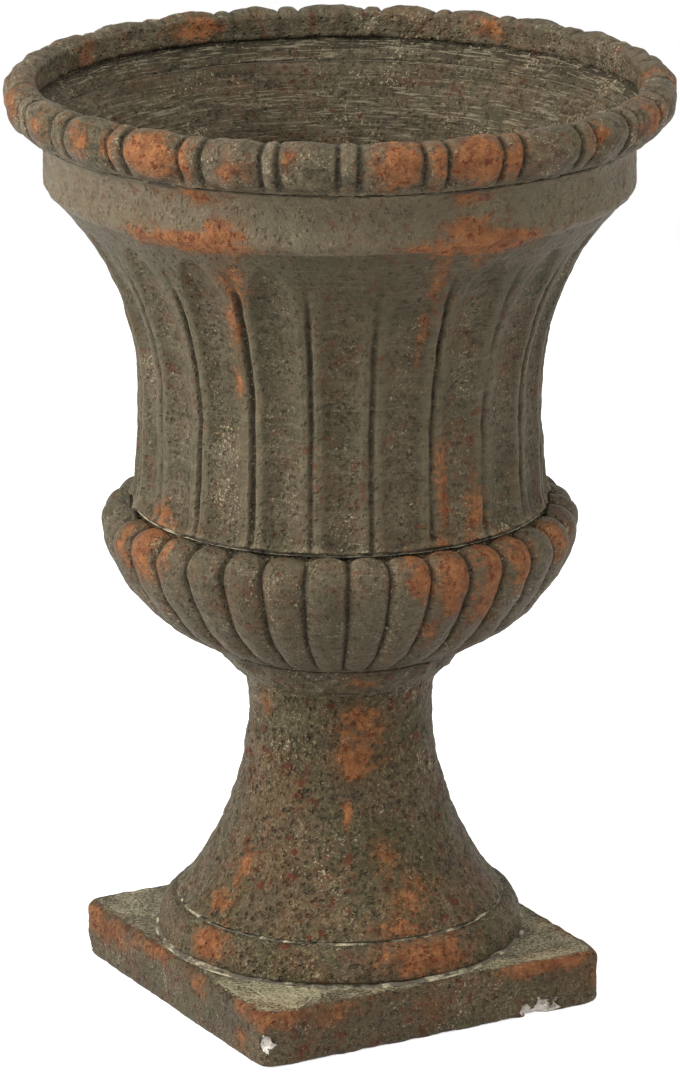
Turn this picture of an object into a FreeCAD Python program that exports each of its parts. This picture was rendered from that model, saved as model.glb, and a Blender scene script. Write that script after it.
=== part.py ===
import FreeCAD, Part
import math
import os

# Garden urn in millimetres, +Z up, origin on the ground under the middle of the plinth.
# A lobed bowl, a fluted bell and a beaded rim lift as one off a flared stem on a square plinth.

# Plinth: a square slab, hollow underneath, a little wider than the foot ring
plinth_margin = 6.0
plinth_height = 30.0
plinth_corner_radius = 6.0
plinth_edge_radius = 3.0
plinth_wall = 15.0
plinth_deck = 12.0

# Lime beds between the cast members
bed_thickness = 1.5
bed_spill = 3.0
foot_joint_thickness = 1.0
bell_joint_thickness = 1.5
bell_joint_spill = 1.4
rim_joint_thickness = 1.0
joint_recess = 1.0

# Foot ring: a quarter round under the stem
foot_height = 18.5
foot_round = 9.0
foot_ledge = 1.0

# Stem: a hollow trumpet with a short straight neck
stem_foot_diameter = 175.0
stem_throat_diameter = 97.0
stem_flare_height = 110.0
stem_neck_height = 15.0
stem_wall = 12.0

# Neck ring: an ovolo under the bowl, with a spigot that drops into the stem
neck_height = 18.0
neck_ledge = 3.5
neck_spread = 12.0
neck_swell = 2.2
neck_bevel = 3.0
neck_bore_diameter = 40.0
spigot_length = 30.0
spigot_clearance = 1.5

# Bowl: a belly of rounded lobes that end in fingertips under the bell
bowl_height = 76.0
bowl_seat_ledge = 2.0
belly_radius = 90.0
fingertip_radius = 13.0
fingertip_gap = 3.7
fingertip_drop = 0.4
lobe_count = 34
lobe_depth = 4.2
lobe_overlap = 1.0
lobe_root = 9.0
lobe_core_depth = 6.0
lobe_first_groove_deg = -117.5
bowl_floor = 14.0
bowl_corner_radius = 40.0
drain_diameter = 20.0

# Bell: a waisted wall with wide flutes between split ribs, under a plain collar
bell_waist_diameter = 213.2
bell_foot_flare = 3.0
bell_waist_height = 58.5
bell_flare_height = 111.0
bell_wall = 10.0
collar_ledge = 5.0
collar_height = 20.5
collar_cove_height = 10.0
collar_cove_depth = 7.5
flute_count = 21
flute_first_split_deg = -127.0
flute_depth = 2.6
flute_run_up = 98.0
flute_arch_length = 28.0
split_depth = 2.6
split_width = 4.2
split_run_up = 92.0
split_fade_length = 18.0
rib_width = 3.4
groove_run_out = 4.0

# Rim: a string of beads and reels on a ring with an overhanging inner lip
rim_diameter = 350.0
rim_height = 27.5
rim_overhang = 13.5
bead_count = 25
bead_radius = 10.0
reel_length = 11.5
reel_first_deg = -117.0
notch_depth = 2.2
notch_width = 5.0
lip_inset = 7.4
lip_drop = 6.0
lip_overhang = 1.8

# Levels, from the ground up
bed_top = plinth_height + bed_thickness
foot_top = bed_top + foot_height
stem_base = foot_top + foot_joint_thickness
stem_throat_z = stem_base + stem_flare_height
stem_top = stem_throat_z + stem_neck_height
neck_top = stem_top + neck_height
bowl_top = neck_top + bowl_height
bell_base = bowl_top + bell_joint_thickness
bell_waist_z = bell_base + bell_waist_height
collar_base = bell_waist_z + bell_flare_height
cove_base = collar_base + collar_height
collar_top = cove_base + collar_cove_height
rim_base = collar_top + rim_joint_thickness
rim_top = rim_base + rim_height

# Radii shared by members that meet
stem_foot_r = stem_foot_diameter / 2
stem_throat_r = stem_throat_diameter / 2
stem_bore_r = stem_throat_r - stem_wall
pedestal_hollow_r = stem_foot_r - stem_wall
foot_r = stem_foot_r + foot_ledge + foot_round
plinth_width = 2 * (foot_r + plinth_margin)
neck_bore_r = neck_bore_diameter / 2
neck_low_r = stem_throat_r + neck_ledge
neck_high_r = neck_low_r + neck_spread
drain_r = drain_diameter / 2
bell_waist_r = bell_waist_diameter / 2
bell_foot_r = bell_waist_r + bell_foot_flare
bell_bore_r = bell_waist_r - bell_wall
bowl_seat_r = neck_high_r + bowl_seat_ledge
fingertip_r = bell_foot_r + fingertip_gap
bowl_r = fingertip_r + fingertip_radius
rim_r = rim_diameter / 2
rim_seat_r = rim_r - rim_overhang
collar_r = rim_seat_r - collar_cove_depth
bell_flare_r = collar_r - collar_ledge
bell_mouth_r = rim_seat_r - bell_wall

ORIGIN = FreeCAD.Vector(0, 0, 0)
UP = FreeCAD.Vector(0, 0, 1)
LEFT = FreeCAD.Vector(0, 1, 0)
RIGHT = FreeCAD.Vector(0, -1, 0)


def spot(radius, z, angle_deg=0.0):
    """A point at a radius and height, turned about the upright axis."""
    angle = math.radians(angle_deg)
    return FreeCAD.Vector(radius * math.cos(angle), radius * math.sin(angle), z)


def line(start, end):
    """A straight edge."""
    return Part.makeLine(start, end)


def arc(start, middle, end):
    """A round edge through three points."""
    return Part.Arc(start, middle, end).toShape()


def chain(corners):
    """Straight edges through the corners, one after another."""
    return [line(a, b) for a, b in zip(corners, corners[1:])]


def turned(edges):
    """The solid that a closed outline sweeps about the upright axis, with its seam at the back."""
    return spun(Part.Face(Part.Wire(edges)).revolve(ORIGIN, UP, 360), 180)


def spun(shape, angle_deg):
    """A copy of a shape, turned about the upright axis."""
    copy = shape.copy()
    copy.rotate(ORIGIN, UP, angle_deg)
    return copy


def slice_of(solid, pitch_deg, low, high):
    """The slice of a turned solid that lies half a pitch to each side of the front plane."""
    reach = 2 * rim_r
    corners = [spot(0, low), spot(reach, low), spot(reach, high), spot(0, high)]
    slab = Part.Face(Part.Wire(chain(corners + corners[:1])))
    wedge = spun(slab, -pitch_deg / 2).revolve(ORIGIN, UP, pitch_deg)
    return solid.common(wedge)


def on_radial_plane(face):
    """True for a flat face whose plane holds the upright axis."""
    if not isinstance(face.Surface, Part.Plane):
        return False
    level = face.Surface.Axis
    return abs(level.z) < 1e-6 and abs(level.dot(face.Surface.Position)) < 1e-4


def ring_of_units(unit, count, first_deg):
    """One solid from a sector unit repeated round the axis, sewn along the radial planes."""
    skin = [face for face in unit.Faces if not on_radial_plane(face)]
    faces = [spun(face, first_deg + index * 360 / count) for index in range(count) for face in skin]
    shell = Part.Shell(faces)
    shell.sewShape()
    solid = Part.Solid(shell)
    if solid.Volume < 0:
        solid.reverse()
    return solid


def flat_ring(inner_r, outer_r, low, high):
    """A plain ring with square edges."""
    corners = [spot(inner_r, low), spot(outer_r, low), spot(outer_r, high), spot(inner_r, high)]
    return turned(chain(corners + corners[:1]))


def flare_radius(z, throat_r, throat_z, end_r, end_z):
    """Radius at a height on an arc that leaves the throat upright and spreads to its end."""
    spread = end_r - throat_r
    bend = ((end_z - throat_z) ** 2 + spread ** 2) / (2 * spread)
    return throat_r + bend - math.copysign(math.sqrt(bend ** 2 - (z - throat_z) ** 2), bend)


def flare(throat_r, throat_z, end_r, end_z):
    """The round edge from a throat to the end of its flare."""
    middle_z = (throat_z + end_z) / 2
    middle_r = flare_radius(middle_z, throat_r, throat_z, end_r, end_z)
    return arc(spot(throat_r, throat_z), spot(middle_r, middle_z), spot(end_r, end_z))


def make_plinth():
    """A square slab with soft edges, an open underside and a round hole under the stem."""
    half = plinth_width / 2
    slab = Part.makeBox(plinth_width, plinth_width, plinth_height, FreeCAD.Vector(-half, -half, 0))
    uprights = [e for e in slab.Edges if abs(e.tangentAt(e.FirstParameter).z) > 0.5]
    slab = slab.makeFillet(plinth_corner_radius, uprights)
    upper = [e for e in slab.Edges if e.BoundBox.ZMin > plinth_height / 2]
    slab = slab.makeFillet(plinth_edge_radius, upper)
    hollow_width = plinth_width - 2 * plinth_wall
    hollow_height = plinth_height - plinth_deck
    low_corner = FreeCAD.Vector(-hollow_width / 2, -hollow_width / 2, 0)
    hollow = Part.makeBox(hollow_width, hollow_width, hollow_height, low_corner)
    hole = Part.makeCylinder(pedestal_hollow_r, plinth_height)
    return slab.cut(hollow).cut(hole)


def make_plinth_bed():
    """Lime that beds the foot ring and spills out round it in a low fillet."""
    edges = chain([
        spot(foot_r, bed_top),
        spot(pedestal_hollow_r, bed_top),
        spot(pedestal_hollow_r, plinth_height),
        spot(foot_r + bed_spill, plinth_height),
        spot(foot_r, bed_top),
    ])
    return turned(edges)


def make_foot_ring():
    """A quarter round that steps in from the plinth to the stem."""
    top_r = foot_r - foot_round
    turn = math.radians(45)
    swell = spot(top_r + foot_round * math.cos(turn), bed_top + foot_height * math.sin(turn))
    edges = chain([
        spot(top_r, foot_top),
        spot(pedestal_hollow_r, foot_top),
        spot(pedestal_hollow_r, bed_top),
        spot(foot_r, bed_top),
    ])
    edges.append(arc(spot(foot_r, bed_top), swell, spot(top_r, foot_top)))
    return turned(edges)


def make_foot_joint():
    """A thin line of lime between the foot ring and the stem."""
    return flat_ring(pedestal_hollow_r, stem_foot_r - joint_recess, foot_top, stem_base)


def make_stem():
    """A trumpet of even wall, open at both ends."""
    edges = [
        flare(stem_throat_r, stem_throat_z, stem_foot_r, stem_base),
        line(spot(stem_throat_r, stem_throat_z), spot(stem_throat_r, stem_top)),
        line(spot(stem_throat_r, stem_top), spot(stem_bore_r, stem_top)),
        line(spot(stem_bore_r, stem_top), spot(stem_bore_r, stem_throat_z)),
        flare(stem_bore_r, stem_throat_z, pedestal_hollow_r, stem_base),
        line(spot(pedestal_hollow_r, stem_base), spot(stem_foot_r, stem_base)),
    ]
    return turned(edges)


def make_neck_ring():
    """An ovolo that carries the bowl, with its spigot hanging in the stem's bore."""
    low_r = neck_low_r
    high_r = neck_high_r
    shoulder_z = neck_top - neck_bevel
    spigot_r = stem_bore_r - spigot_clearance
    spigot_z = stem_top - spigot_length
    slope = math.hypot(high_r - low_r, shoulder_z - stem_top)
    swell = spot(
        (low_r + high_r) / 2 + neck_swell * (shoulder_z - stem_top) / slope,
        (stem_top + shoulder_z) / 2 - neck_swell * (high_r - low_r) / slope,
    )
    edges = [arc(spot(low_r, stem_top), swell, spot(high_r, shoulder_z))]
    edges += chain([
        spot(high_r, shoulder_z),
        spot(high_r - neck_bevel, neck_top),
        spot(neck_bore_r, neck_top),
        spot(neck_bore_r, spigot_z),
        spot(spigot_r, spigot_z),
        spot(spigot_r, stem_top),
        spot(low_r, stem_top),
    ])
    return turned(edges)


def make_gadroon_bowl():
    """A ring of round fingers that rise from the neck and curl over under the bell."""
    tip = spot(fingertip_r, bowl_top - fingertip_radius - fingertip_drop)
    seat = spot(bowl_seat_r, neck_top)
    reach = belly_radius - fingertip_radius
    span = tip.distanceToPoint(seat)
    along = (span ** 2 + belly_radius ** 2 - reach ** 2) / (2 * span)
    aside = math.sqrt(belly_radius ** 2 - along ** 2)
    ahead = (tip - seat) * (1 / span)
    centre = seat + ahead * along + FreeCAD.Vector(-ahead.z, 0, ahead.x) * aside
    seat_turn = math.degrees(math.atan2(seat.z - centre.z, seat.x - centre.x))
    meet_turn = math.degrees(math.atan2(tip.z - centre.z, tip.x - centre.x))

    pitch_deg = 360 / lobe_count
    half_width = bowl_r * math.sin(math.radians(pitch_deg / 2))
    lobe_radius = (half_width ** 2 + lobe_depth ** 2) / (2 * lobe_depth)
    start_turn = seat_turn - math.degrees(lobe_root / belly_radius)

    def finger(middle, crest, first_turn, last_turn):
        """A bent bar with a round back, carried about a level axis from turn to turn."""
        out = spot(math.cos(math.radians(first_turn)), math.sin(math.radians(first_turn)))
        side = LEFT * (half_width + lobe_overlap)
        shoulder = math.sqrt(lobe_radius ** 2 - side.Length ** 2) - lobe_radius
        back = middle + out * crest
        left = back + out * shoulder + side
        right = back + out * shoulder - side
        root_left = back - out * lobe_root + side
        root_right = back - out * lobe_root - side
        edges = [arc(left, back, right)] + chain([right, root_right, root_left, left])
        return Part.Face(Part.Wire(edges)).revolve(middle, RIGHT, last_turn - first_turn)

    belly = finger(centre, belly_radius, start_turn, meet_turn)
    fingertip = finger(tip, fingertip_radius, meet_turn, 90)

    floor_z = neck_top + bowl_floor
    corner_r = bell_bore_r - bowl_corner_radius
    corner_z = floor_z + bowl_corner_radius
    bend_turn = math.radians(-45)
    bend = spot(
        corner_r + bowl_corner_radius * math.cos(bend_turn),
        corner_z + bowl_corner_radius * math.sin(bend_turn),
    )
    core_radius = belly_radius - lobe_core_depth

    def on_core(turn_deg):
        """A point on the belly under the fingers."""
        turn = math.radians(turn_deg)
        return centre + spot(core_radius * math.cos(turn), core_radius * math.sin(turn))

    core_seat = spot(bowl_seat_r - lobe_core_depth, neck_top)
    ledge_r = fingertip_r + fingertip_drop + bell_joint_spill
    ledge_z = tip.z + lobe_core_depth
    edges = [
        line(spot(drain_r, neck_top), core_seat),
        arc(core_seat, on_core((seat_turn + meet_turn) / 2), on_core(meet_turn)),
    ]
    edges += chain([
        on_core(meet_turn),
        spot(ledge_r, ledge_z),
        spot(ledge_r, bowl_top),
        spot(bell_bore_r, bowl_top),
        spot(bell_bore_r, corner_z),
    ])
    edges.append(arc(spot(bell_bore_r, corner_z), bend, spot(corner_r, floor_z)))
    edges += chain([spot(corner_r, floor_z), spot(drain_r, floor_z), spot(drain_r, neck_top)])
    unit = slice_of(turned(edges).fuse([belly, fingertip]), pitch_deg, neck_top, bowl_top)
    return ring_of_units(unit, lobe_count, lobe_first_groove_deg + pitch_deg / 2).removeSplitter()


def make_bell_joint():
    """Lime under the bell, pressed out a little on to the tops of the lobes."""
    return flat_ring(bell_bore_r, bell_foot_r + bell_joint_spill, bowl_top, bell_base)


def groove_cutters(section, floor, depth, run_up, fade):
    """Three bent bars that cut one groove down the bell and run out of the wall at its top.

    The section is a level face at the waist, and the floor is its innermost point.
    """
    low_bend = (bell_waist_height ** 2 + bell_foot_flare ** 2) / (2 * bell_foot_flare)
    spread = bell_flare_r - bell_waist_r
    bend = (bell_flare_height ** 2 + spread ** 2) / (2 * spread)
    top_bend = 1 / (2 * depth / fade ** 2 + 1 / bend)
    low_middle = floor + spot(low_bend + depth, 0)
    middle = floor + spot(bend + depth, 0)
    low_turn = math.degrees(math.asin((bell_waist_height + groove_run_out) / low_bend))
    turn = math.degrees(math.asin(run_up / bend) - fade / bend)
    top_turn = math.degrees((fade + groove_run_out) / top_bend)
    end_section = section.copy()
    end_section.rotate(middle, LEFT, turn)
    inwards = FreeCAD.Rotation(LEFT, turn).multVec(spot(-1, 0))
    top_middle = middle + inwards * (bend + depth - top_bend)
    return [
        section.revolve(low_middle, RIGHT, low_turn),
        section.revolve(middle, LEFT, turn),
        end_section.revolve(top_middle, LEFT, top_turn),
    ]


def make_fluted_bell():
    """The waisted wall and its collar, with arched flutes between ribs that a narrow groove splits."""
    edges = [
        flare(bell_waist_r, bell_waist_z, bell_foot_r, bell_base),
        flare(bell_waist_r, bell_waist_z, bell_flare_r, collar_base),
        line(spot(bell_flare_r, collar_base), spot(collar_r, collar_base)),
        line(spot(collar_r, collar_base), spot(collar_r, cove_base)),
        flare(collar_r, cove_base, rim_seat_r, collar_top),
        line(spot(rim_seat_r, collar_top), spot(bell_mouth_r, collar_top)),
        flare(bell_bore_r, bell_waist_z, bell_mouth_r, collar_top),
        line(spot(bell_bore_r, bell_waist_z), spot(bell_bore_r, bell_base)),
        line(spot(bell_bore_r, bell_base), spot(bell_foot_r, bell_base)),
    ]
    pitch_deg = 360 / flute_count
    wall = slice_of(turned(edges), pitch_deg, bell_base, collar_top)

    flute_half = (bell_waist_r * math.radians(pitch_deg) - split_width) / 2 - rib_width
    flute_radius = 1 / (2 * flute_depth / flute_half ** 2 - 1 / bell_waist_r)
    flute_floor = spot(bell_waist_r - flute_depth, bell_waist_z)
    ring = Part.makeCircle(flute_radius, flute_floor + spot(flute_radius, 0), UP)
    flute_face = Part.Face(Part.Wire([ring]))
    flute = groove_cutters(flute_face, flute_floor, flute_depth, flute_run_up, flute_arch_length)

    split_floor = spot(bell_waist_r - split_depth, bell_waist_z)
    back = split_floor + spot(2 * split_depth, 0)
    notch = [split_floor, back + LEFT * split_width, back + RIGHT * split_width, split_floor]
    split_face = Part.Face(Part.Wire(chain(notch)))
    split = groove_cutters(split_face, split_floor, split_depth, split_run_up, split_fade_length)

    cutters = flute
    for side in (-1, 1):
        cutters += [spun(cutter, side * pitch_deg / 2) for cutter in split]
    unit = wall.cut(cutters)
    return ring_of_units(unit, flute_count, flute_first_split_deg + pitch_deg / 2).removeSplitter()


def make_rim_joint():
    """A thin line of lime between the collar and the rim."""
    return flat_ring(bell_mouth_r, rim_seat_r - joint_recess, collar_top, rim_base)


def make_rim_ring():
    """A round roll notched into long beads and short reels, with an inner lip that overhangs the wall."""
    axis_z = rim_top - bead_radius
    axis_r = rim_r - bead_radius
    lip_r = axis_r - lip_inset
    lip_z = axis_z - lip_drop
    lip_top = spot(lip_r, axis_z + math.sqrt(bead_radius ** 2 - lip_inset ** 2))
    outermost = spot(rim_r, axis_z)
    turn = math.radians(60)
    crown = spot(axis_r + bead_radius * math.cos(turn), axis_z + bead_radius * math.sin(turn))
    edges = chain([
        spot(rim_seat_r, rim_base),
        spot(bell_mouth_r, rim_base),
        spot(lip_r + lip_overhang, lip_z),
        spot(lip_r, lip_z),
        lip_top,
    ])
    edges.append(arc(lip_top, crown, outermost))
    edges.append(flare(rim_r, axis_z, rim_seat_r, rim_base))
    pitch_deg = 360 / bead_count
    roll = slice_of(turned(edges), pitch_deg, rim_base, rim_top)

    floor = spot(rim_r - notch_depth, axis_z)
    back = floor + spot(2 * notch_depth, 0)
    notch = [floor, back + LEFT * notch_width, back + RIGHT * notch_width, floor]
    notch_face = Part.Face(Part.Wire(chain(notch)))
    over = notch_face.revolve(spot(axis_r, axis_z), RIGHT, 180)
    under = notch_face.extrude(spot(0, rim_base - axis_z))
    reel_turn = math.degrees(reel_length / 2 / rim_r)
    cutters = [spun(cutter, side * reel_turn) for side in (-1, 1) for cutter in (over, under)]
    return ring_of_units(roll.cut(cutters), bead_count, reel_first_deg)


MEMBERS = {
    "plinth": make_plinth,
    "plinth_bed": make_plinth_bed,
    "foot_ring": make_foot_ring,
    "foot_joint": make_foot_joint,
    "stem": make_stem,
    "neck_ring": make_neck_ring,
    "gadroon_bowl": make_gadroon_bowl,
    "bell_joint": make_bell_joint,
    "fluted_bell": make_fluted_bell,
    "rim_joint": make_rim_joint,
    "rim_ring": make_rim_ring,
}

os.makedirs("parts", exist_ok=True)
for name, make in MEMBERS.items():
    shape = make()
    shape.exportStep(os.path.join("parts", name + ".step"))
    print(name, shape.ShapeType, len(shape.Solids), shape.isValid(), round(shape.Volume), len(shape.Faces))
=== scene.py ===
import logging
import math
from dataclasses import dataclass
from enum import Enum

import bpy
import numpy as np
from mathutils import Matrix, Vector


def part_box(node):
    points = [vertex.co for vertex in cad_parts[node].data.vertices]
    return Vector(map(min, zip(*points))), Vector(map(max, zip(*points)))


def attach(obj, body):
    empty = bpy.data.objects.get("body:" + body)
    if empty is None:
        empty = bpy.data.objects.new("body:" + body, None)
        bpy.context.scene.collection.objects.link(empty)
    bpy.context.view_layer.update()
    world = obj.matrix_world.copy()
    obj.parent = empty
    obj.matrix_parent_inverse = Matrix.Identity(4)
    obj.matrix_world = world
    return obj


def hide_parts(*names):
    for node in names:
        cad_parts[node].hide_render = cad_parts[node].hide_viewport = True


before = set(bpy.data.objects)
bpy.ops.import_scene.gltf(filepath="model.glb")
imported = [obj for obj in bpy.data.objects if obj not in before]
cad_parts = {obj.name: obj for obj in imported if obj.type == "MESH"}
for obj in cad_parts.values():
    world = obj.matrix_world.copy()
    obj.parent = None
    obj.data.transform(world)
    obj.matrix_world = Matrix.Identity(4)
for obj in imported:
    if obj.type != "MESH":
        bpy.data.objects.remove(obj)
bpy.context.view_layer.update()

# Looks of a weathered garden urn, in metres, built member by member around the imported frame.

LOG = logging.getLogger("garden_urn")

# Bearings are measured about the upright axis, from the side that faces the camera.
CAMERA_AZIMUTH = math.radians(-29.07)
FRONT = CAMERA_AZIMUTH - math.pi / 2
FULL_TURN = 2 * math.pi

Pair = tuple[float, float]
Triple = tuple[float, float, float]
Tint = tuple[float, float, float, float]
Grid = np.ndarray
Socket = bpy.types.NodeSocket
Outputs = bpy.types.NodeOutputs
Feed = Socket | float | Triple | Tint

WHITE: Tint = (1, 1, 1, 1)
RUST: Tint = (0.088, 0.024, 0.010, 1)
# Near-black of dirt and of painted shade in grooves and under overhangs.
SOOT_AND_SHADE: Tint = (0.020, 0.016, 0.010, 1)
INSIDE_SHADE: Tint = (0.84, 0.84, 0.84, 1)
PALE_GRAIN: Tint = (0.31, 0.26, 0.16, 1)
PALE_STREAK: Tint = (0.19, 0.162, 0.105, 1)
LIME_CRUMB: Tint = (0.35, 0.31, 0.19, 1)
WHITE_CORE: Tint = (0.74, 0.67, 0.59, 1)


class Zone(Enum):
    """The stretch of a member's outline that a row of points belongs to."""

    OUTSIDE = "outside"
    COLLAR = "collar"
    ROLL = "roll"
    LIP = "lip"
    INSIDE = "inside"
    SEAT = "seat"


class Mask(Enum):
    """Values stored on each point of a mesh, which the finishes read."""

    CREST = "crest"
    GROOVE = "groove"
    SEAM = "seam"
    BARE = "bare_clay"
    CHIP = "chip"
    INSIDE = "inside"
    COARSE = "coarse"


class Kind(Enum):
    """Kinds of socket on a shared effect."""

    VALUE = "NodeSocketFloat"
    COLOUR = "NodeSocketColor"
    VECTOR = "NodeSocketVector"


@dataclass(frozen=True)
class ClayPatch:
    """A place where the dark coat is worn through to the clay.

    Attributes:
        bearing: Degrees from the front.
        height: Height above the ground.
        half_width: Half its width round the urn.
        half_height: Half its height.
        strength: How much of the coat is gone, where 1 is all of it.
    """

    bearing: float
    height: float
    half_width: float
    half_height: float
    strength: float


@dataclass(frozen=True)
class Spot:
    """A knocked or worn place on the plinth.

    Attributes:
        place: Its centre.
        size: Half its length along X, Y and Z.
        amount: Depth of a knock, or how much of the coat is gone.
    """

    place: Triple
    size: Triple
    amount: float

    def away(self, grid: Grid) -> Grid:
        """How far each point lies from the centre, in half lengths."""
        return np.linalg.norm((grid - np.array(self.place)) / np.array(self.size), axis=-1)


CLAY_PATCHES = tuple(ClayPatch(*row) for row in (
    (-78.0, 0.490, 0.016, 0.010, 0.9),
    (-62.0, 0.490, 0.012, 0.010, 0.7),
    (-49.0, 0.489, 0.010, 0.010, 0.8),
    (-42.0, 0.489, 0.007, 0.012, 0.8),
    (-34.0, 0.489, 0.018, 0.013, 1.0),
    (-27.0, 0.489, 0.006, 0.012, 0.9),
    (-18.0, 0.487, 0.010, 0.011, 0.8),
    (-8.0, 0.494, 0.006, 0.006, 0.7),
    (10.0, 0.490, 0.015, 0.013, 1.0),
    (16.6, 0.489, 0.006, 0.012, 0.8),
    (24.0, 0.489, 0.017, 0.014, 1.1),
    (31.0, 0.489, 0.007, 0.013, 0.9),
    (48.0, 0.490, 0.012, 0.010, 0.7),
    (67.0, 0.490, 0.016, 0.010, 0.9),
    (90.0, 0.491, 0.018, 0.010, 0.8),
    (150.0, 0.493, 0.016, 0.008, 0.8),
    (-150.0, 0.492, 0.018, 0.008, 0.9),
    (-120.0, 0.490, 0.016, 0.010, 0.7),
    (-27.0, 0.468, 0.020, 0.006, 0.7),
    (24.0, 0.467, 0.014, 0.006, 0.7),
    (-30.0, 0.4405, 0.034, 0.007, 1.1),
    (-22.0, 0.447, 0.012, 0.009, 0.9),
    (29.0, 0.4405, 0.034, 0.007, 1.1),
    (25.0, 0.449, 0.014, 0.009, 0.9),
    (15.5, 0.441, 0.008, 0.004, 0.9),
    (-24.0, 0.418, 0.010, 0.024, 0.72),
    (-27.0, 0.388, 0.005, 0.020, 0.72),
    (-29.0, 0.360, 0.004, 0.014, 0.7),
    (22.0, 0.420, 0.008, 0.024, 0.72),
    (30.0, 0.428, 0.010, 0.010, 0.65),
    (21.0, 0.385, 0.003, 0.024, 0.75),
    (30.0, 0.305, 0.006, 0.030, 0.85),
    (41.0, 0.287, 0.007, 0.016, 0.85),
    (-58.0, 0.280, 0.008, 0.006, 0.8),
    (-66.0, 0.258, 0.012, 0.016, 0.8),
    (-56.0, 0.260, 0.010, 0.016, 1.0),
    (-48.0, 0.261, 0.008, 0.012, 0.9),
    (20.0, 0.260, 0.009, 0.014, 0.95),
    (28.5, 0.256, 0.010, 0.022, 1.0),
    (39.0, 0.253, 0.011, 0.026, 1.0),
    (50.0, 0.260, 0.011, 0.016, 1.0),
    (66.0, 0.262, 0.012, 0.014, 0.8),
    (25.0, 0.226, 0.008, 0.012, 0.7),
    (10.0, 0.186, 0.010, 0.005, 0.8),
    (13.0, 0.160, 0.011, 0.012, 0.95),
    (11.0, 0.140, 0.014, 0.012, 1.0),
    (13.0, 0.151, 0.017, 0.017, 0.8),
    (2.0, 0.137, 0.005, 0.006, 0.7),
    (4.0, 0.112, 0.003, 0.009, 0.85),
    (-53.0, 0.166, 0.006, 0.010, 0.7),
    (24.0, 0.088, 0.014, 0.016, 0.66),
    (30.0, 0.068, 0.020, 0.014, 0.72),
    (20.0, 0.056, 0.018, 0.006, 0.8),
    (-47.0, 0.077, 0.007, 0.014, 0.8),
    (-53.0, 0.061, 0.012, 0.007, 0.85),
    (-46.0, 0.043, 0.014, 0.010, 1.0),
    (29.0, 0.042, 0.028, 0.010, 1.0),
    (110.0, 0.120, 0.014, 0.030, 0.8),
    (-140.0, 0.090, 0.020, 0.024, 0.8),
    (170.0, 0.260, 0.030, 0.016, 0.9),
    (140.0, 0.430, 0.040, 0.012, 0.9),
    (-130.0, 0.436, 0.034, 0.010, 0.9),
))

KNOCKS = (
    Spot((-0.1035, -0.1035, 0.0145), (0.0085, 0.0085, 0.0095), 0.003),
    Spot((0.064, -0.1035, 0.003), (0.014, 0.010, 0.0108), 0.004),
    Spot((-0.1035, 0.098, 0.004), (0.006, 0.006, 0.007), 0.003),
)

SCUFFS = (
    Spot((-0.104, 0.084, 0.022), (0.012, 0.030, 0.010), 1.0),
    Spot((-0.104, 0.020, 0.028), (0.010, 0.030, 0.007), 0.8),
    Spot((-0.104, -0.030, 0.024), (0.010, 0.014, 0.009), 0.65),
    Spot((-0.094, -0.094, 0.029), (0.024, 0.024, 0.008), 1.0),
    Spot((-0.060, -0.104, 0.026), (0.022, 0.010, 0.009), 0.72),
    Spot((-0.104, -0.080, 0.012), (0.010, 0.014, 0.010), 0.7),
    Spot((-0.006, -0.104, 0.018), (0.018, 0.010, 0.014), 0.55),
    Spot((0.070, -0.100, 0.029), (0.032, 0.014, 0.007), 1.0),
    Spot((0.100, -0.098, 0.020), (0.010, 0.014, 0.012), 0.8),
    Spot((0.098, -0.060, 0.030), (0.012, 0.030, 0.006), 0.9),
    Spot((0.104, 0.060, 0.024), (0.012, 0.030, 0.012), 0.9),
    Spot((0.020, 0.104, 0.024), (0.040, 0.012, 0.012), 0.9),
)


@dataclass
class Outline:
    """A closed outline in the upright half plane, walked with its inside on the left."""

    radii: list[float]
    heights: list[float]
    zones: list[Zone]

    def add(self, radius: float, height: float, zone: Zone) -> None:
        """Adds one point.

        Args:
            radius: Its radius.
            height: Its height.
            zone: Its zone.
        """
        self.radii.append(radius)
        self.heights.append(height)
        self.zones.append(zone)

    def line(self, radius: float, height: float, steps: int, zone: Zone, bulge: float = 0.0) -> None:
        """Walks to a point, straight or with a bulge.

        Args:
            radius: Radius of the end.
            height: Height of the end.
            steps: Number of points to add.
            zone: Zone of the new points.
            bulge: How far the middle of the walk swells outwards.
        """
        r0, z0 = self.radii[-1], self.heights[-1]
        for step in range(1, steps + 1):
            share = step / steps
            swell = bulge * math.sin(math.pi * share)
            self.add(r0 + (radius - r0) * share + swell, z0 + (height - z0) * share, zone)

    def bow(self, centre: Pair, turns: Pair, reach: Pair, steps: int, zone: Zone) -> None:
        """Walks along a round or oval bow.

        Args:
            centre: Radius and height of its centre.
            turns: First and last angle in degrees, from straight outwards.
            reach: Its half sizes outwards and upwards.
            steps: Number of points to add.
            zone: Zone of the new points.
        """
        for step in range(1, steps + 1):
            turn = math.radians(turns[0] + (turns[1] - turns[0]) * step / steps)
            self.add(centre[0] + reach[0] * math.cos(turn), centre[1] + reach[1] * math.sin(turn), zone)

    def flare(self, throat: Pair, end: Pair, outwards: bool, steps: int, zone: Zone) -> None:
        """Walks along an arc that is upright at its throat.

        Args:
            throat: Radius and height of the throat.
            end: Radius and height of the far end.
            outwards: True to walk from the throat to the end.
            steps: Number of points to add.
            zone: Zone of the new points.
        """
        spread = end[0] - throat[0]
        bend = ((end[1] - throat[1]) ** 2 + spread ** 2) / (2 * spread)
        for step in range(1, steps + 1):
            share = step / steps if outwards else 1 - step / steps
            height = throat[1] + (end[1] - throat[1]) * share
            drop = math.sqrt(max(bend ** 2 - (height - throat[1]) ** 2, 0.0))
            self.add(throat[0] + bend - math.copysign(drop, bend), height, zone)


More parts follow.
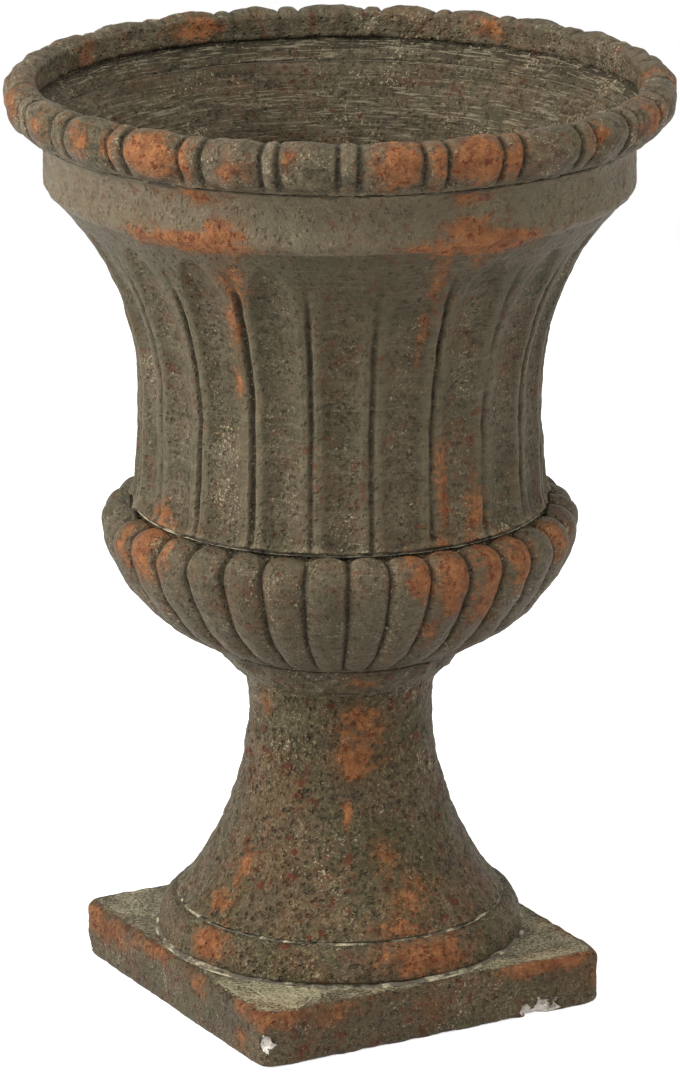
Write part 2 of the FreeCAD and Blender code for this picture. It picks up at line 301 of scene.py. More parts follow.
@dataclass
class Sheet:
    """The rows and columns that a member's skin is woven on.

    Attributes:
        radius: Radius of each row.
        height: Height of each row.
        out_r: How far each row faces outwards.
        out_z: How far each row faces upwards.
        zones: Zone of each row.
        bearings: Angle of each column.
    """

    radius: Grid
    height: Grid
    out_r: Grid
    out_z: Grid
    zones: list[Zone]
    bearings: Grid

    @classmethod
    def along(cls, outline: Outline, columns: int) -> "Sheet":
        """Lays rows along an outline and columns round the axis.

        Args:
            outline: The closed outline.
            columns: Number of columns.

        Returns:
            The sheet, whose rows are upright arrays.
        """
        r = np.array(outline.radii)[:, None]
        z = np.array(outline.heights)[:, None]
        step_r = np.roll(r, -1, 0) - np.roll(r, 1, 0)
        step_z = np.roll(z, -1, 0) - np.roll(z, 1, 0)
        length = np.hypot(step_r, step_z)
        length[length == 0] = 1.0
        bearings = np.linspace(0, FULL_TURN, columns, endpoint=False)
        return cls(r, z, step_z / length, -step_r / length, outline.zones, bearings)

    @property
    def shape(self) -> tuple[int, int]:
        """Number of rows and of columns."""
        return len(self.zones), len(self.bearings)

    def within(self, *zones: Zone) -> Grid:
        """1 on the rows of some zones and 0 elsewhere."""
        return np.array([[1.0 if zone in zones else 0.0] for zone in self.zones])


class Draws:
    """Seeded amounts by which the units of a pattern differ."""

    def __init__(self, seed: int, count: int) -> None:
        """Starts the draws for a number of units."""
        self.rng = np.random.default_rng(seed)
        self.count = count

    def about(self, middle: float, width: float, unit: Grid) -> Grid:
        """Draws one amount for each unit.

        Args:
            middle: Middle of the amounts.
            width: Range that they are spread over.
            unit: Number of the unit at each point.

        Returns:
            The amount at each point.
        """
        return (middle + width * (self.rng.random(self.count) - 0.5))[unit % self.count]


def lattice_noise(points: Grid, seed: int) -> Grid:
    """Smooth noise on a seeded lattice of unit cells.

    Args:
        points: Array whose last axis is X, Y, Z.
        seed: Seed of the lattice.

    Returns:
        Values from -1 to 1.
    """
    table = np.random.default_rng(seed).random(4096) * 2 - 1
    cell = np.floor(points).astype(np.int64)
    share = points - cell
    share = share * share * (3 - 2 * share)
    total = np.zeros(points.shape[:-1])
    for corner in range(8):
        step = np.array([(corner >> axis) & 1 for axis in range(3)])
        weight = np.prod(np.where(step == 1, share, 1 - share), axis=-1)
        place = cell + step
        key = (place[..., 0] * 73856093) ^ (place[..., 1] * 19349663) ^ (place[..., 2] * 83492791)
        total += weight * table[key & 4095]
    return total


def cloudy(points: Grid, size: float, seed: int, octaves: int) -> Grid:
    """Noise with finer noise laid over it.

    Args:
        points: Array whose last axis is X, Y, Z.
        size: Size of the largest lumps.
        seed: Seed of the lattice.
        octaves: Number of layers, each half the size and strength of the one before.

    Returns:
        Values around zero, mostly within 1 of it.
    """
    total = np.zeros(points.shape[:-1])
    for layer in range(octaves):
        total += lattice_noise(points * (2 ** layer / size), seed + layer) / 2 ** layer
    return total


def box_blur(values: Grid, reach: int) -> Grid:
    """Averages a grid that wraps both ways over a square of cells.

    Args:
        values: The grid.
        reach: Cells to each side.

    Returns:
        The smoothed grid.
    """
    for axis in (0, 1):
        total = np.zeros_like(values)
        for step in range(-reach, reach + 1):
            total += np.roll(values, step, axis)
        values = total / (2 * reach + 1)
    return values


def fade(distance: Grid, reach: float) -> Grid:
    """1 at no distance, dying away over a reach to both sides."""
    return np.exp(-np.abs(distance) / reach)


def clip01(values: Grid) -> Grid:
    """Values kept from 0 to 1."""
    return np.clip(values, 0, 1)


def wear_fall(away_squared: Grid) -> Grid:
    """Share of a worn place's strength, by squared distance in half sizes."""
    return np.exp(-0.6 * away_squared)


def woven_mesh(name: str, grid: Grid) -> bpy.types.Mesh:
    """A closed mesh of four-sided faces over a grid that wraps both ways.

    Args:
        name: Name of the mesh.
        grid: Points by row and column.

    Returns:
        The mesh, shaded smooth.
    """
    rows, columns, _ = grid.shape
    index = np.arange(rows * columns).reshape(rows, columns)
    right = np.roll(index, -1, 1)
    quads = np.stack([index, right, np.roll(right, -1, 0), np.roll(index, -1, 0)], -1).reshape(-1, 4)
    mesh = bpy.data.meshes.new(name)
    mesh.from_pydata(grid.reshape(-1, 3).tolist(), [], quads.tolist())
    mesh.polygons.foreach_set("use_smooth", np.ones(len(quads), dtype=bool))
    mesh.update()
    return mesh


@dataclass
class TurnedMember:
    """A cast member turned about the upright axis, with relief and an uneven skin.

    Attributes:
        node: The frame's node that it stands for.
        body: The body that carries it.
        slot: The record's material slot.
        columns: Points round the axis.
        lump: Size of the casting's unevenness.
        uneven: Height of the casting's unevenness.
        seed: Seed of the unevenness.
        wear_and_shading_depth: Height of a crest that is fully lightened, as wear and painted highlight, and
            depth of a groove that is fully darkened, as dirt and painted shade.
        gap: Height left between the outline's last point and its first.
        seam_reach: How far lime spreads from a joint.
    """

    node: str
    body: str
    slot: str
    columns: int
    lump: float
    uneven: float
    seed: int
    wear_and_shading_depth: float = 0.0007
    gap: float = 0.0005
    seam_reach: float = 0.0035

    def __post_init__(self) -> None:
        """Reads the node's lowest and highest level from the frame."""
        low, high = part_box(self.node)
        self.low = float(low[2])
        self.high = float(high[2])

    def outline(self) -> Outline:
        """The member's closed outline."""
        raise NotImplementedError

    def relief(self, sheet: Sheet) -> Grid:
        """Depth cut into the skin at each point."""
        return np.zeros(sheet.shape)

    def seams(self, sheet: Sheet) -> Grid:
        """How near each row lies to a joint, from 0 to 1."""
        below = fade(sheet.height - self.low, self.seam_reach)
        return np.maximum(below, fade(sheet.height - self.high, self.seam_reach))

    def dirt_and_shade(self, sheet: Sheet) -> Grid:
        """Dirt and painted shade that a row holds beside what its grooves hold, from 0 to 1."""
        return np.zeros_like(sheet.height)

    def wear_and_light(self, sheet: Sheet) -> Grid:
        """Wear and painted light that a row shows beside that of its crests, from 0 to 1."""
        return np.zeros_like(sheet.height)

    def coarse(self, sheet: Sheet, depth: Grid) -> Grid:
        """How coarse the skin is at each point of a relief, from 0 to 1."""
        return np.ones_like(depth)

    def stretch(self, sheet: Sheet) -> Grid:
        """How far each point stands out, as a multiple of its row's radius."""
        return np.ones(sheet.shape)

    def chips(self, grid: Grid) -> Grid:
        """How much each point is chipped, from 0 to 1."""
        return np.zeros(grid.shape[:2])

    def spread_out(self, sheet: Sheet, inset: Grid | float = 0.0) -> Grid:
        """Points of the skin.

        Args:
            sheet: The member's rows and columns.
            inset: Depth of each point below the plain skin.

        Returns:
            A grid of points.
        """
        r = (sheet.radius - inset * sheet.out_r) * self.stretch(sheet)
        z = np.broadcast_to(sheet.height - inset * sheet.out_z, sheet.shape)
        return np.stack([r * np.cos(sheet.bearings), r * np.sin(sheet.bearings), z], -1)

    def worn(self, grid: Grid) -> Grid:
        """How much of the coat is worn off at each point.

        Args:
            grid: Points of the skin.

        Returns:
            A grid of shares.
        """
        bearing = np.arctan2(grid[..., 1], grid[..., 0]) - FRONT
        reach = np.hypot(grid[..., 0], grid[..., 1])
        total = np.zeros(grid.shape[:2])
        for patch in CLAY_PATCHES:
            turn = (bearing - math.radians(patch.bearing) + math.pi) % FULL_TURN - math.pi
            across = turn * reach / patch.half_width
            along = (grid[..., 2] - patch.height) / patch.half_height
            total = np.maximum(total, patch.strength * wear_fall(across ** 2 + along ** 2))
        return total

    def build(self) -> bpy.types.Object:
        """Makes the member's mesh and places it in the frame.

        Returns:
            The new object.
        """
        sheet = Sheet.along(self.outline(), self.columns)
        depth = self.relief(sheet)
        plain = self.spread_out(sheet, depth)
        skin = cloudy(plain, self.lump, self.seed, 4) * self.uneven
        inset = depth - skin * (1 - sheet.within(Zone.SEAT))
        grid = self.spread_out(sheet, inset)
        chip = self.chips(grid)
        mesh = woven_mesh(self.node + "_skin", grid)
        height = box_blur(inset, 4) - inset
        inside = sheet.within(Zone.INSIDE)
        # Crests are lightened as wear and a painted highlight, and grooves and marked rows darkened as dirt
        # and painted shade.
        masks = {
            Mask.CREST: np.maximum(clip01(height / self.wear_and_shading_depth), self.wear_and_light(sheet)),
            Mask.GROOVE: np.maximum(clip01(-height / self.wear_and_shading_depth), self.dirt_and_shade(sheet)),
            Mask.SEAM: self.seams(sheet),
            Mask.BARE: self.worn(plain) * (1 - inside),
            Mask.CHIP: chip,
            Mask.INSIDE: inside,
            Mask.COARSE: self.coarse(sheet, depth),
        }
        for mask, values in masks.items():
            layer = mesh.attributes.new(mask.value, "FLOAT", "POINT")
            full = np.broadcast_to(values, sheet.shape)
            layer.data.foreach_set("value", np.ascontiguousarray(full, dtype=np.float32).ravel())
        piece = bpy.data.objects.new(self.node + "_cast", mesh)
        bpy.context.scene.collection.objects.link(piece)
        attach(piece, self.body)
        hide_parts(self.node)
        return piece

    def dress(self, piece: bpy.types.Object, finishes: dict[str, bpy.types.Material]) -> None:
        """Gives the piece the finish of its slot."""
        piece.data.materials.append(finishes[self.slot])


@dataclass
class Plinth(TurnedMember):
    """The square slab, hollow underneath, with chipped corners."""

    half_width: float = 0.1035
    edge: float = 0.004
    wall: float = 0.015
    deck: float = 0.012
    hole: float = 0.0755
    squareness: float = 26.0
    break_lump: float = 0.005
    lime_radius: float = 0.0985
    lime_reach: float = 0.005

    def outline(self) -> Outline:
        """A slab's outline, whose radius is the distance from the axis square to a side.

        Returns:
            The closed outline.
        """
        inner = self.half_width - self.wall
        under = self.high - self.deck
        turn = self.half_width - self.edge
        edge = (self.edge, self.edge)
        line = Outline([inner], [0.0], [Zone.SEAT])
        line.line(turn, 0.0, 8, Zone.SEAT)
        line.bow((turn, self.edge), (-90, 0), edge, 6, Zone.OUTSIDE)
        line.line(self.half_width, self.high - self.edge, 24, Zone.OUTSIDE)
        line.bow((turn, self.high - self.edge), (0, 90), edge, 8, Zone.OUTSIDE)
        line.line(self.hole, self.high, 26, Zone.OUTSIDE)
        line.line(self.hole, under, 6, Zone.INSIDE)
        line.line(inner, under, 8, Zone.INSIDE)
        line.line(inner, self.gap, 10, Zone.INSIDE)
        return line

    def stretch(self, sheet: Sheet) -> Grid:
        """Square with rounded corners at the sides, turning round towards the hole.

        Args:
            sheet: The member's rows and columns.

        Returns:
            A multiple for each point.
        """
        power = self.squareness
        turns = np.abs(np.cos(sheet.bearings)) ** power + np.abs(np.sin(sheet.bearings)) ** power
        share = clip01((sheet.radius - self.hole) / (self.half_width - self.wall - self.hole))
        return 1 + (turns ** (-1 / power) - 1) * share

    def dirt_and_shade(self, sheet: Sheet) -> Grid:
        """The slab is a little soiled all over."""
        return 0.20 * sheet.within(Zone.OUTSIDE)

    def chips(self, grid: Grid) -> Grid:
        """Breaks the knocked spots inwards and says how much each point is broken.

        Args:
            grid: Points of the skin, which are moved in place.

        Returns:
            A grid of shares.
        """
        broken = np.zeros(grid.shape[:2])
        ragged = cloudy(grid, self.break_lump, self.seed + 40, 4)
        for knock in KNOCKS:
            share = clip01(1.0 - knock.away(grid) + 0.4 * ragged)
            inwards = -np.array(knock.place) * np.array([1.0, 1.0, 0.0])
            inwards = inwards / np.linalg.norm(inwards)
            fall = clip01((share - 0.3) * 6.0)
            grid += fall[..., None] * inwards * knock.amount * (0.8 + 0.3 * ragged[..., None])
            broken = np.maximum(broken, share)
        return broken

    def worn(self, grid: Grid) -> Grid:
        """The slab is worn at its own spots."""
        return np.max([scuff.amount * wear_fall(scuff.away(grid) ** 2) for scuff in SCUFFS], axis=0)

    def seams(self, sheet: Sheet) -> Grid:
        """Lime gathers on the deck near the foot, not at the ground."""
        near = fade(np.maximum(sheet.radius - self.lime_radius, 0), self.lime_reach)
        return 1.45 * near * (sheet.height > self.high - self.gap) * sheet.within(Zone.OUTSIDE)


@dataclass
class FootRing(TurnedMember):
    """The quarter round under the stem."""

    radius: float = 0.0975
    round_in: float = 0.009
    ledge: float = 0.002
    hollow: float = 0.0755

    def outline(self) -> Outline:
        """A ring whose outside rounds in from foot to top.

        Returns:
            The closed outline.
        """
        shoulder = self.radius - self.round_in
        line = Outline([self.hollow], [self.low], [Zone.SEAT])
        line.line(self.radius - self.ledge, self.low, 6, Zone.SEAT)
        line.bow((shoulder, self.low), (0, 78), (self.round_in, self.high - self.low), 26, Zone.OUTSIDE)
        line.line(shoulder - self.ledge, self.high, 6, Zone.OUTSIDE)
        line.line(self.hollow, self.high, 5, Zone.SEAT)
        line.line(self.hollow, self.low + self.gap, 6, Zone.INSIDE)
        return line


@dataclass
class Stem(TurnedMember):
    """The hollow trumpet that carries the bowl."""

    foot: float = 0.0875
    throat: float = 0.0485
    wall: float = 0.012
    neck: float = 0.015
    head: float = 0.002
    arris: float = 0.0015

    def outline(self) -> Outline:
        """An even wall that flares down to the foot and a little to its head.

        Returns:
            The closed outline.
        """
        throat_z = self.high - self.neck
        throat = (self.throat, throat_z)
        inner = self.throat - self.wall
        inner_foot = self.foot - self.wall
        line = Outline([inner_foot], [self.low], [Zone.SEAT])
        line.line(self.foot - self.arris, self.low, 5, Zone.SEAT)
        line.flare(throat, (self.foot, self.low), False, 170, Zone.OUTSIDE)
        line.flare(throat, (self.throat + self.head, self.high), True, 20, Zone.OUTSIDE)
        line.line(inner, self.high, 5, Zone.SEAT)
        line.line(inner, throat_z, 4, Zone.INSIDE)
        line.flare((inner, throat_z), (inner_foot, self.low), True, 24, Zone.INSIDE)
        return line


@dataclass
class NeckRing(TurnedMember):
    """The ovolo under the bowl, with its spigot."""

    gap: float = 0.001
    seat: float = 0.176
    low_radius: float = 0.052
    high_radius: float = 0.0655
    bevel: float = 0.001
    swell: float = 0.0018
    bore: float = 0.020
    spigot: float = 0.035
    shade_reach: float = 0.006
    seam_reach: float = 0.003

    def outline(self) -> Outline:
        """An ovolo over a long spigot.

        Returns:
            The closed outline.
        """
        line = Outline([self.bore], [self.low], [Zone.SEAT])
        line.line(self.spigot, self.low, 4, Zone.SEAT)
        line.line(self.spigot, self.seat, 8, Zone.SEAT)
        line.line(self.low_radius, self.seat, 5, Zone.SEAT)
        line.line(self.high_radius, self.high - self.bevel, 28, Zone.OUTSIDE, self.swell)
        line.line(self.high_radius - self.bevel, self.high, 5, Zone.OUTSIDE)
        line.line(self.bore, self.high, 5, Zone.SEAT)
        line.line(self.bore, self.low + self.gap, 8, Zone.INSIDE)
        return line

    def dirt_and_shade(self, sheet: Sheet) -> Grid:
        """The ring has painted shade under the lobes."""
        return 0.55 * fade(sheet.height - self.high, self.shade_reach) * sheet.within(Zone.OUTSIDE)

    def seams(self, sheet: Sheet) -> Grid:
        """A little lime lies under the lobes."""
        return 0.4 * fade(sheet.height - self.high, self.seam_reach) * sheet.within(Zone.OUTSIDE)


@dataclass
class GadroonBowl(TurnedMember):
    """The belly of rounded lobes that end in fingertips."""

    gap: float = 0.001
    widest: float = 0.1263
    seat: float = 0.066
    belly: float = 0.090
    fingertip: float = 0.013
    lobes: int = 34
    first_groove: float = math.radians(-117.5)
    lobe_share: float = 0.52
    lobe_end: float = 0.1100
    lobe_unlike: float = 0.18
    sway: float = 0.09
    sway_lump: float = 0.05
    slit: float = 0.0012
    slit_half: float = 0.07
    well: float = 0.0966
    floor: float = 0.014
    corner: float = 0.040
    drain: float = 0.010
    coarse_depth: float = 0.0035
    shade_reach: float = 0.010
    lime_radius: float = 0.1095
    lime_drop: float = 0.008
    seam_reach: float = 0.005

    def belly_centre(self, tip: Pair) -> Pair:
        """Centre of the belly's bow, which starts on the seat and runs on into the fingertip.

        Args:
            tip: Radius and height of the fingertip's centre.

        Returns:
            Its radius and height.
        """
        reach = self.belly - self.fingertip
        gap_r, gap_z = tip[0] - self.seat, tip[1] - self.low
        span = math.hypot(gap_r, gap_z)
        along = (span ** 2 + self.belly ** 2 - reach ** 2) / (2 * span)
        aside = math.sqrt(self.belly ** 2 - along ** 2)
        radius = self.seat + (along * gap_r - aside * gap_z) / span
        return radius, self.low + (along * gap_z + aside * gap_r) / span

    def outline(self) -> Outline:
        """Belly and fingertip outside, and a round-bottomed well inside.

        Returns:
            The closed outline.
        """
        tip = (self.widest - self.fingertip, self.high - self.fingertip)
        centre = self.belly_centre(tip)
        first = math.degrees(math.atan2(self.low - centre[1], self.seat - centre[0]))
        meet = math.degrees(math.atan2(tip[1] - centre[1], tip[0] - centre[0]))
        floor_z = self.low + self.floor
        turn = (self.well - self.corner, floor_z + self.corner)
        line = Outline([self.drain], [self.low], [Zone.SEAT])
        line.line(self.seat, self.low, 12, Zone.SEAT)
        line.bow(centre, (first, meet), (self.belly, self.belly), 84, Zone.OUTSIDE)
        line.bow(tip, (meet, 90), (self.fingertip, self.fingertip), 26, Zone.OUTSIDE)
        line.line(self.lobe_end, self.high, 5, Zone.OUTSIDE)
        line.line(self.well, self.high, 3, Zone.SEAT)
        line.line(self.well, turn[1], 4, Zone.INSIDE)
        line.bow(turn, (0, -90), (self.corner, self.corner), 12, Zone.INSIDE)
        line.line(self.drain, floor_z, 8, Zone.INSIDE)
        line.line(self.drain, self.low + self.gap, 4, Zone.INSIDE)
        return line

    def relief(self, sheet: Sheet) -> Grid:
        """Round lobes side by side, with rounded ends under the bell.

        Args:
            sheet: The bowl's rows and columns.

        Returns:
            A grid of depths.
        """
        outside = sheet.within(Zone.OUTSIDE)
        pitch = FULL_TURN / self.lobes
        sway = cloudy(self.spread_out(sheet), self.sway_lump, self.seed + 7, 2) * self.sway
        place = (sheet.bearings - self.first_groove) / pitch + sway
        lobe = np.floor(place).astype(int)
        across = 2 * (place - np.floor(place)) - 1
        fullness = Draws(self.seed, self.lobes).about(1.0, self.lobe_unlike, lobe)
        half = 0.5 * pitch * sheet.radius
        step_r, step_z = (np.diff(v, axis=0, append=v[:1]) for v in (sheet.radius, sheet.height))
        walked = np.cumsum(np.hypot(step_r, step_z), axis=0)
        to_end = np.clip(walked[np.flatnonzero(outside)[-1]] - walked, 0, None)
        cap = clip01(1 - to_end / (0.75 * half))
        dome = np.sqrt(clip01(1 - (0.97 * across) ** 2 - (0.72 * cap) ** 2))
        depth = self.lobe_share * half * fullness * (1 - dome)
        slit = self.slit * np.exp(-((1 - np.abs(across)) / self.slit_half) ** 2)
        return (depth + slit) * outside

    def coarse(self, sheet: Sheet, depth: Grid) -> Grid:
        """The lobes are smooth, and the grooves between them coarse."""
        within = clip01(0.55 + depth / self.coarse_depth)
        return np.maximum(within, 1 - sheet.within(Zone.OUTSIDE))

    def dirt_and_shade(self, sheet: Sheet) -> Grid:
        """The lobes are a little soiled all over, with painted shade growing towards the neck."""
        below = 0.5 * fade(sheet.height - self.low, self.shade_reach)
        return np.maximum(0.16, below) * sheet.within(Zone.OUTSIDE)

    def seams(self, sheet: Sheet) -> Grid:
        """Lime gathers behind the fingertips."""
        near = fade(np.maximum(sheet.radius - self.lime_radius, 0), self.seam_reach)
        return 0.75 * near * (sheet.height > self.high - self.lime_drop)


@dataclass
class FlutedBell(TurnedMember):
    """The waisted wall with flutes between split ribs, and the collar."""

    gap: float = 0.001
    waist: float = 0.1066
    waist_height: float = 0.0585
    foot: float = 0.1096
    flare: float = 0.149
    flare_drop: float = 0.0028
    collar: float = 0.154
    collar_low: float = 0.441
    collar_high: float = 0.4615
    arris_in: float = 0.0012
    arris_up: float = 0.0004
    arris_round: float = 0.003
    rim_seat: float = 0.1615
    wall: float = 0.010
    mouth: float = 0.1515
    foot_sweep: float = 0.0026
    sweep_height: float = 0.009
    flutes: int = 21
    first_split: float = math.radians(-127.0)
    flute_depth: float = 0.0042
    split_depth: float = 0.0036
    split_half: float = 0.0016
    split_stop: float = 0.004
    split_fade: float = 0.022
    break_lump: float = 0.030
    clog_lump: float = 0.045
    sway: float = 0.035
    sway_lump: float = 0.07
    place_unlike: float = 0.035
    height_unlike: float = 0.006
    rib: float = 0.0036
    arch_top: float = 0.428
    arch_rise: float = 0.032
    daub_bearing: float = 0.1
    daub_half: float = 0.42
    daub_low: float = 0.335
    daub_rise: float = 0.06
    ragged_depth: float = 0.0010
    ragged_lump: float = 0.009
    ragged_reach: float = 0.005
    coarse_reach: float = 0.010
    foot_seam: float = 0.009
    rim_seam: float = 0.003

    def outline(self) -> Outline:
        """Waisted wall and collar outside, and one smooth flare inside.

        Returns:
            The closed outline.
        """
        waist_z = self.low + self.waist_height
        waist = (self.waist, waist_z)
        inner = self.waist - self.wall
        line = Outline([inner], [self.low], [Zone.SEAT])
        line.line(self.foot, self.low, 4, Zone.SEAT)
        line.flare(waist, (self.foot, self.low), False, 62, Zone.OUTSIDE)
        line.flare(waist, (self.flare, self.collar_low - self.flare_drop), True, 124, Zone.OUTSIDE)
        line.line(self.collar - self.arris_in, self.collar_low + self.arris_up, 5, Zone.COLLAR)
        line.line(self.collar, self.collar_low + self.arris_round, 4, Zone.COLLAR)
        line.line(self.collar, self.collar_high, 20, Zone.COLLAR)
        line.flare((self.collar, self.collar_high), (self.rim_seat, self.high), True, 12, Zone.COLLAR)
        line.line(self.mouth, self.high, 5, Zone.SEAT)
        line.flare((inner, waist_z), (self.mouth, self.high), False, 74, Zone.INSIDE)
        line.line(inner, self.low + self.gap, 16, Zone.INSIDE)
        return line

    def relief(self, sheet: Sheet) -> Grid:
        """Flutes and splits that clog and fade, over a foot that sweeps out raggedly.

        Args:
            sheet: The bell's rows and columns.

        Returns:
            A grid of depths.
        """
        plain = self.spread_out(sheet)
        clogged = np.clip(0.96 + 0.35 * cloudy(plain, self.clog_lump, self.seed + 9, 3), 0.6, 1.15)
        turn = (sheet.bearings - FRONT + math.pi) % FULL_TURN - math.pi
        front = np.exp(-((turn - self.daub_bearing) / self.daub_half) ** 2)
        daubed = front * clip01((sheet.height - self.daub_low) / self.daub_rise)
        above_foot = sheet.height - self.low
        ragged = self.ragged_depth * cloudy(plain, self.ragged_lump, self.seed + 17, 3)
        sweep = self.foot_sweep * clip01(1 - above_foot / self.sweep_height) ** 2
        cut = box_blur(self.carving(sheet, plain) * clogged * (1 - 0.5 * daubed), 1)
        return (cut + ragged * fade(above_foot, self.ragged_reach) - sweep) * sheet.within(Zone.OUTSIDE)

    def carving(self, sheet: Sheet, plain: Grid) -> Grid:
        """Wide flutes with arched tops, and ribs that a narrow groove splits.

        Args:
            sheet: The bell's rows and columns.
            plain: Points of the plain skin.

        Returns:
            A grid of depths.
        """
        draws = Draws(self.seed, self.flutes)
        pitch = FULL_TURN / self.flutes
        sway = cloudy(plain, self.sway_lump, self.seed + 5, 3) * self.sway
        place = (sheet.bearings - self.first_split) / pitch + sway
        flute = np.round(place).astype(int)
        off = (place + draws.about(0.0, self.place_unlike, flute) - flute) * pitch * self.waist
        half_pitch = 0.5 * pitch * self.waist
        split_half = self.split_half * draws.about(1.05, 0.5, flute)
        strength = draws.about(0.85, 0.6, flute)
        height = sheet.height + draws.about(0.0, self.height_unlike, flute)
        below_arch = clip01((self.arch_top - self.split_stop - height) / self.split_fade)
        bite = clip01(1 - (off / split_half) ** 2)
        whole = np.clip(0.85 + 0.7 * cloudy(plain, self.break_lump, self.seed + 11, 3), 0.1, 1.2)
        split = self.split_depth * strength * bite * below_arch * whole
        climb = clip01((height - (self.arch_top - self.arch_rise)) / self.arch_rise)
        arch = np.sqrt(1 - climb ** 2)
        flute_half = (half_pitch - self.split_half - self.rib) * np.maximum(arch, 0.02)
        across = (half_pitch - np.abs(off)) / flute_half
        return split + self.flute_depth * clip01(1 - np.abs(across) ** 2.3) * clip01(arch * 1.05)

    def coarse(self, sheet: Sheet, depth: Grid) -> Grid:
        """The flutes and the foot are coarse, and the ribs between the flutes smooth.

        Args:
            sheet: The member's rows and columns.
            depth: Depth of the relief at each point.

        Returns:
            A value for each point.
        """
        within = np.clip(depth / (0.65 * self.flute_depth), 0.1, 1)
        plain = 1 - sheet.within(Zone.OUTSIDE) - 0.7 * sheet.within(Zone.COLLAR)
        near_foot = fade(sheet.height - self.low, self.coarse_reach)
        return np.maximum(within, np.maximum(plain, near_foot))

    def wear_and_light(self, sheet: Sheet) -> Grid:
        """The collar is lighter than the wall, partly as wear and partly as painted light on its face."""
        return sheet.within(Zone.COLLAR)

    def seams(self, sheet: Sheet) -> Grid:
        """Lime lies at the bell's foot and under the rim.

        Args:
            sheet: The member's rows and columns.

        Returns:
            A value for each row.
        """
        near_foot = 0.85 * fade(sheet.height - self.low, self.foot_seam)
        near_rim = 0.6 * fade(sheet.height - self.high, self.rim_seam)
        return np.maximum(near_foot, near_rim) * (1 - sheet.within(Zone.INSIDE))


@dataclass
class BeadedRim(TurnedMember):
    """The string of beads and reels, with its overhanging inner lip."""

    radius: float = 0.175
    round: float = 0.010
    seat: float = 0.1615
    mouth: float = 0.1515
    lip_inset: float = 0.0074
    lip_drop: float = 0.006
    overhang: float = 0.0026
    lip_slope: float = 0.0004
    beads: int = 25
    first_reel: float = math.radians(-117.0)
    reel_half: float = 0.0058
    crown: float = 0.0027
    reel_set_back: float = 0.0008
    roundness: float = 2.6
    sway: float = 0.02
    sway_lump: float = 0.03
    place_unlike: float = 0.16
    bruise: float = 0.0005
    bruise_lump: float = 0.012
    nick: float = 0.0011
    nick_half: float = 0.0010
    crack_seam: float = 0.0015
    roll_seam: float = 0.0025
    shade_reach: float = 0.006

    def lip_height(self) -> float:
        """Height of the lip's lower edge."""
        return self.high - self.round - self.lip_drop

    def outline(self) -> Outline:
        """A round roll that draws in to the collar, with a lip inside.

        Returns:
            The closed outline.
        """
        axis_z = self.high - self.round
        axis_r = self.radius - self.round
        lip_r = axis_r - self.lip_inset
        lip_z = self.lip_height()
        over = 180 - math.degrees(math.acos(self.lip_inset / self.round))
        draw_in = self.radius - self.seat
        bend = ((axis_z - self.low) ** 2 + draw_in ** 2) / (2 * draw_in)
        sweep = math.degrees(math.asin((axis_z - self.low) / bend))
        line = Outline([self.mouth], [self.low], [Zone.SEAT])
        line.line(self.seat, self.low, 3, Zone.SEAT)
        line.bow((self.radius - bend, axis_z), (-sweep, 0), (bend, bend), 16, Zone.ROLL)
        line.bow((axis_r, axis_z), (0, over), (self.round, self.round), 24, Zone.ROLL)
        line.line(lip_r, lip_z, 7, Zone.LIP)
        line.line(lip_r + self.overhang, lip_z - self.lip_slope, 2, Zone.INSIDE)
        line.line(self.mouth, self.low + self.gap, 6, Zone.INSIDE)
        return line

    def relief(self, sheet: Sheet) -> Grid:
        """Long crowned beads with a short reel between each two.

        Args:
            sheet: The rim's rows and columns.

        Returns:
            A grid of depths.
        """
        draws = Draws(self.seed, self.beads)
        pitch = FULL_TURN / self.beads
        plain = self.spread_out(sheet)
        sway = self.sway * cloudy(plain, self.sway_lump, self.seed + 3, 2)
        place = (sheet.bearings - self.first_reel) / pitch + sway
        bead = np.round(place).astype(int)
        off = np.abs(place + draws.about(0.0, self.place_unlike, bead) - bead) * pitch * self.radius
        half_pitch = 0.5 * pitch * self.radius
        reel_half = self.reel_half * draws.about(0.95, 0.50, bead)
        on_reel = clip01(off / reel_half)
        on_bead = clip01((half_pitch - off) / (half_pitch - reel_half))
        reel_drop = self.reel_set_back + (self.crown - self.reel_set_back) * on_reel ** self.roundness
        drop = np.where(off < reel_half, reel_drop, self.crown * on_bead ** self.roundness)
        drop = drop + self.bruise * cloudy(plain, self.bruise_lump, self.seed + 13, 3)
        nick = self.nick * np.exp(-((off - reel_half) / self.nick_half) ** 2)
        on_roll = sheet.within(Zone.ROLL)
        first, last = np.flatnonzero(on_roll)[[0, -1]]
        share = clip01((np.arange(len(on_roll))[:, None] - first) / (last - first))
        full = clip01(share / 0.12) * clip01(0.12 + (1 - share) / 0.30) * on_roll
        return (drop + nick) * (full + 0.12 * sheet.within(Zone.LIP))

    def seams(self, sheet: Sheet) -> Grid:
        """Lime lies under the roll and in the crack under the lip.

        Args:
            sheet: The member's rows and columns.

        Returns:
            A value for each row.
        """
        under_lip = fade(sheet.height - self.lip_height(), self.crack_seam)
        under_roll = fade(sheet.height - self.low, self.roll_seam)
        return under_roll * sheet.within(Zone.ROLL) + 0.4 * under_lip * sheet.within(Zone.LIP)

    def dirt_and_shade(self, sheet: Sheet) -> Grid:
        """A painted shadow lies dark in the crack under the lip and fades down the wall below it."""
        under_lip = fade(self.lip_height() - sheet.height, self.shade_reach)
        return clip01(1.5 * under_lip) * sheet.within(Zone.INSIDE)


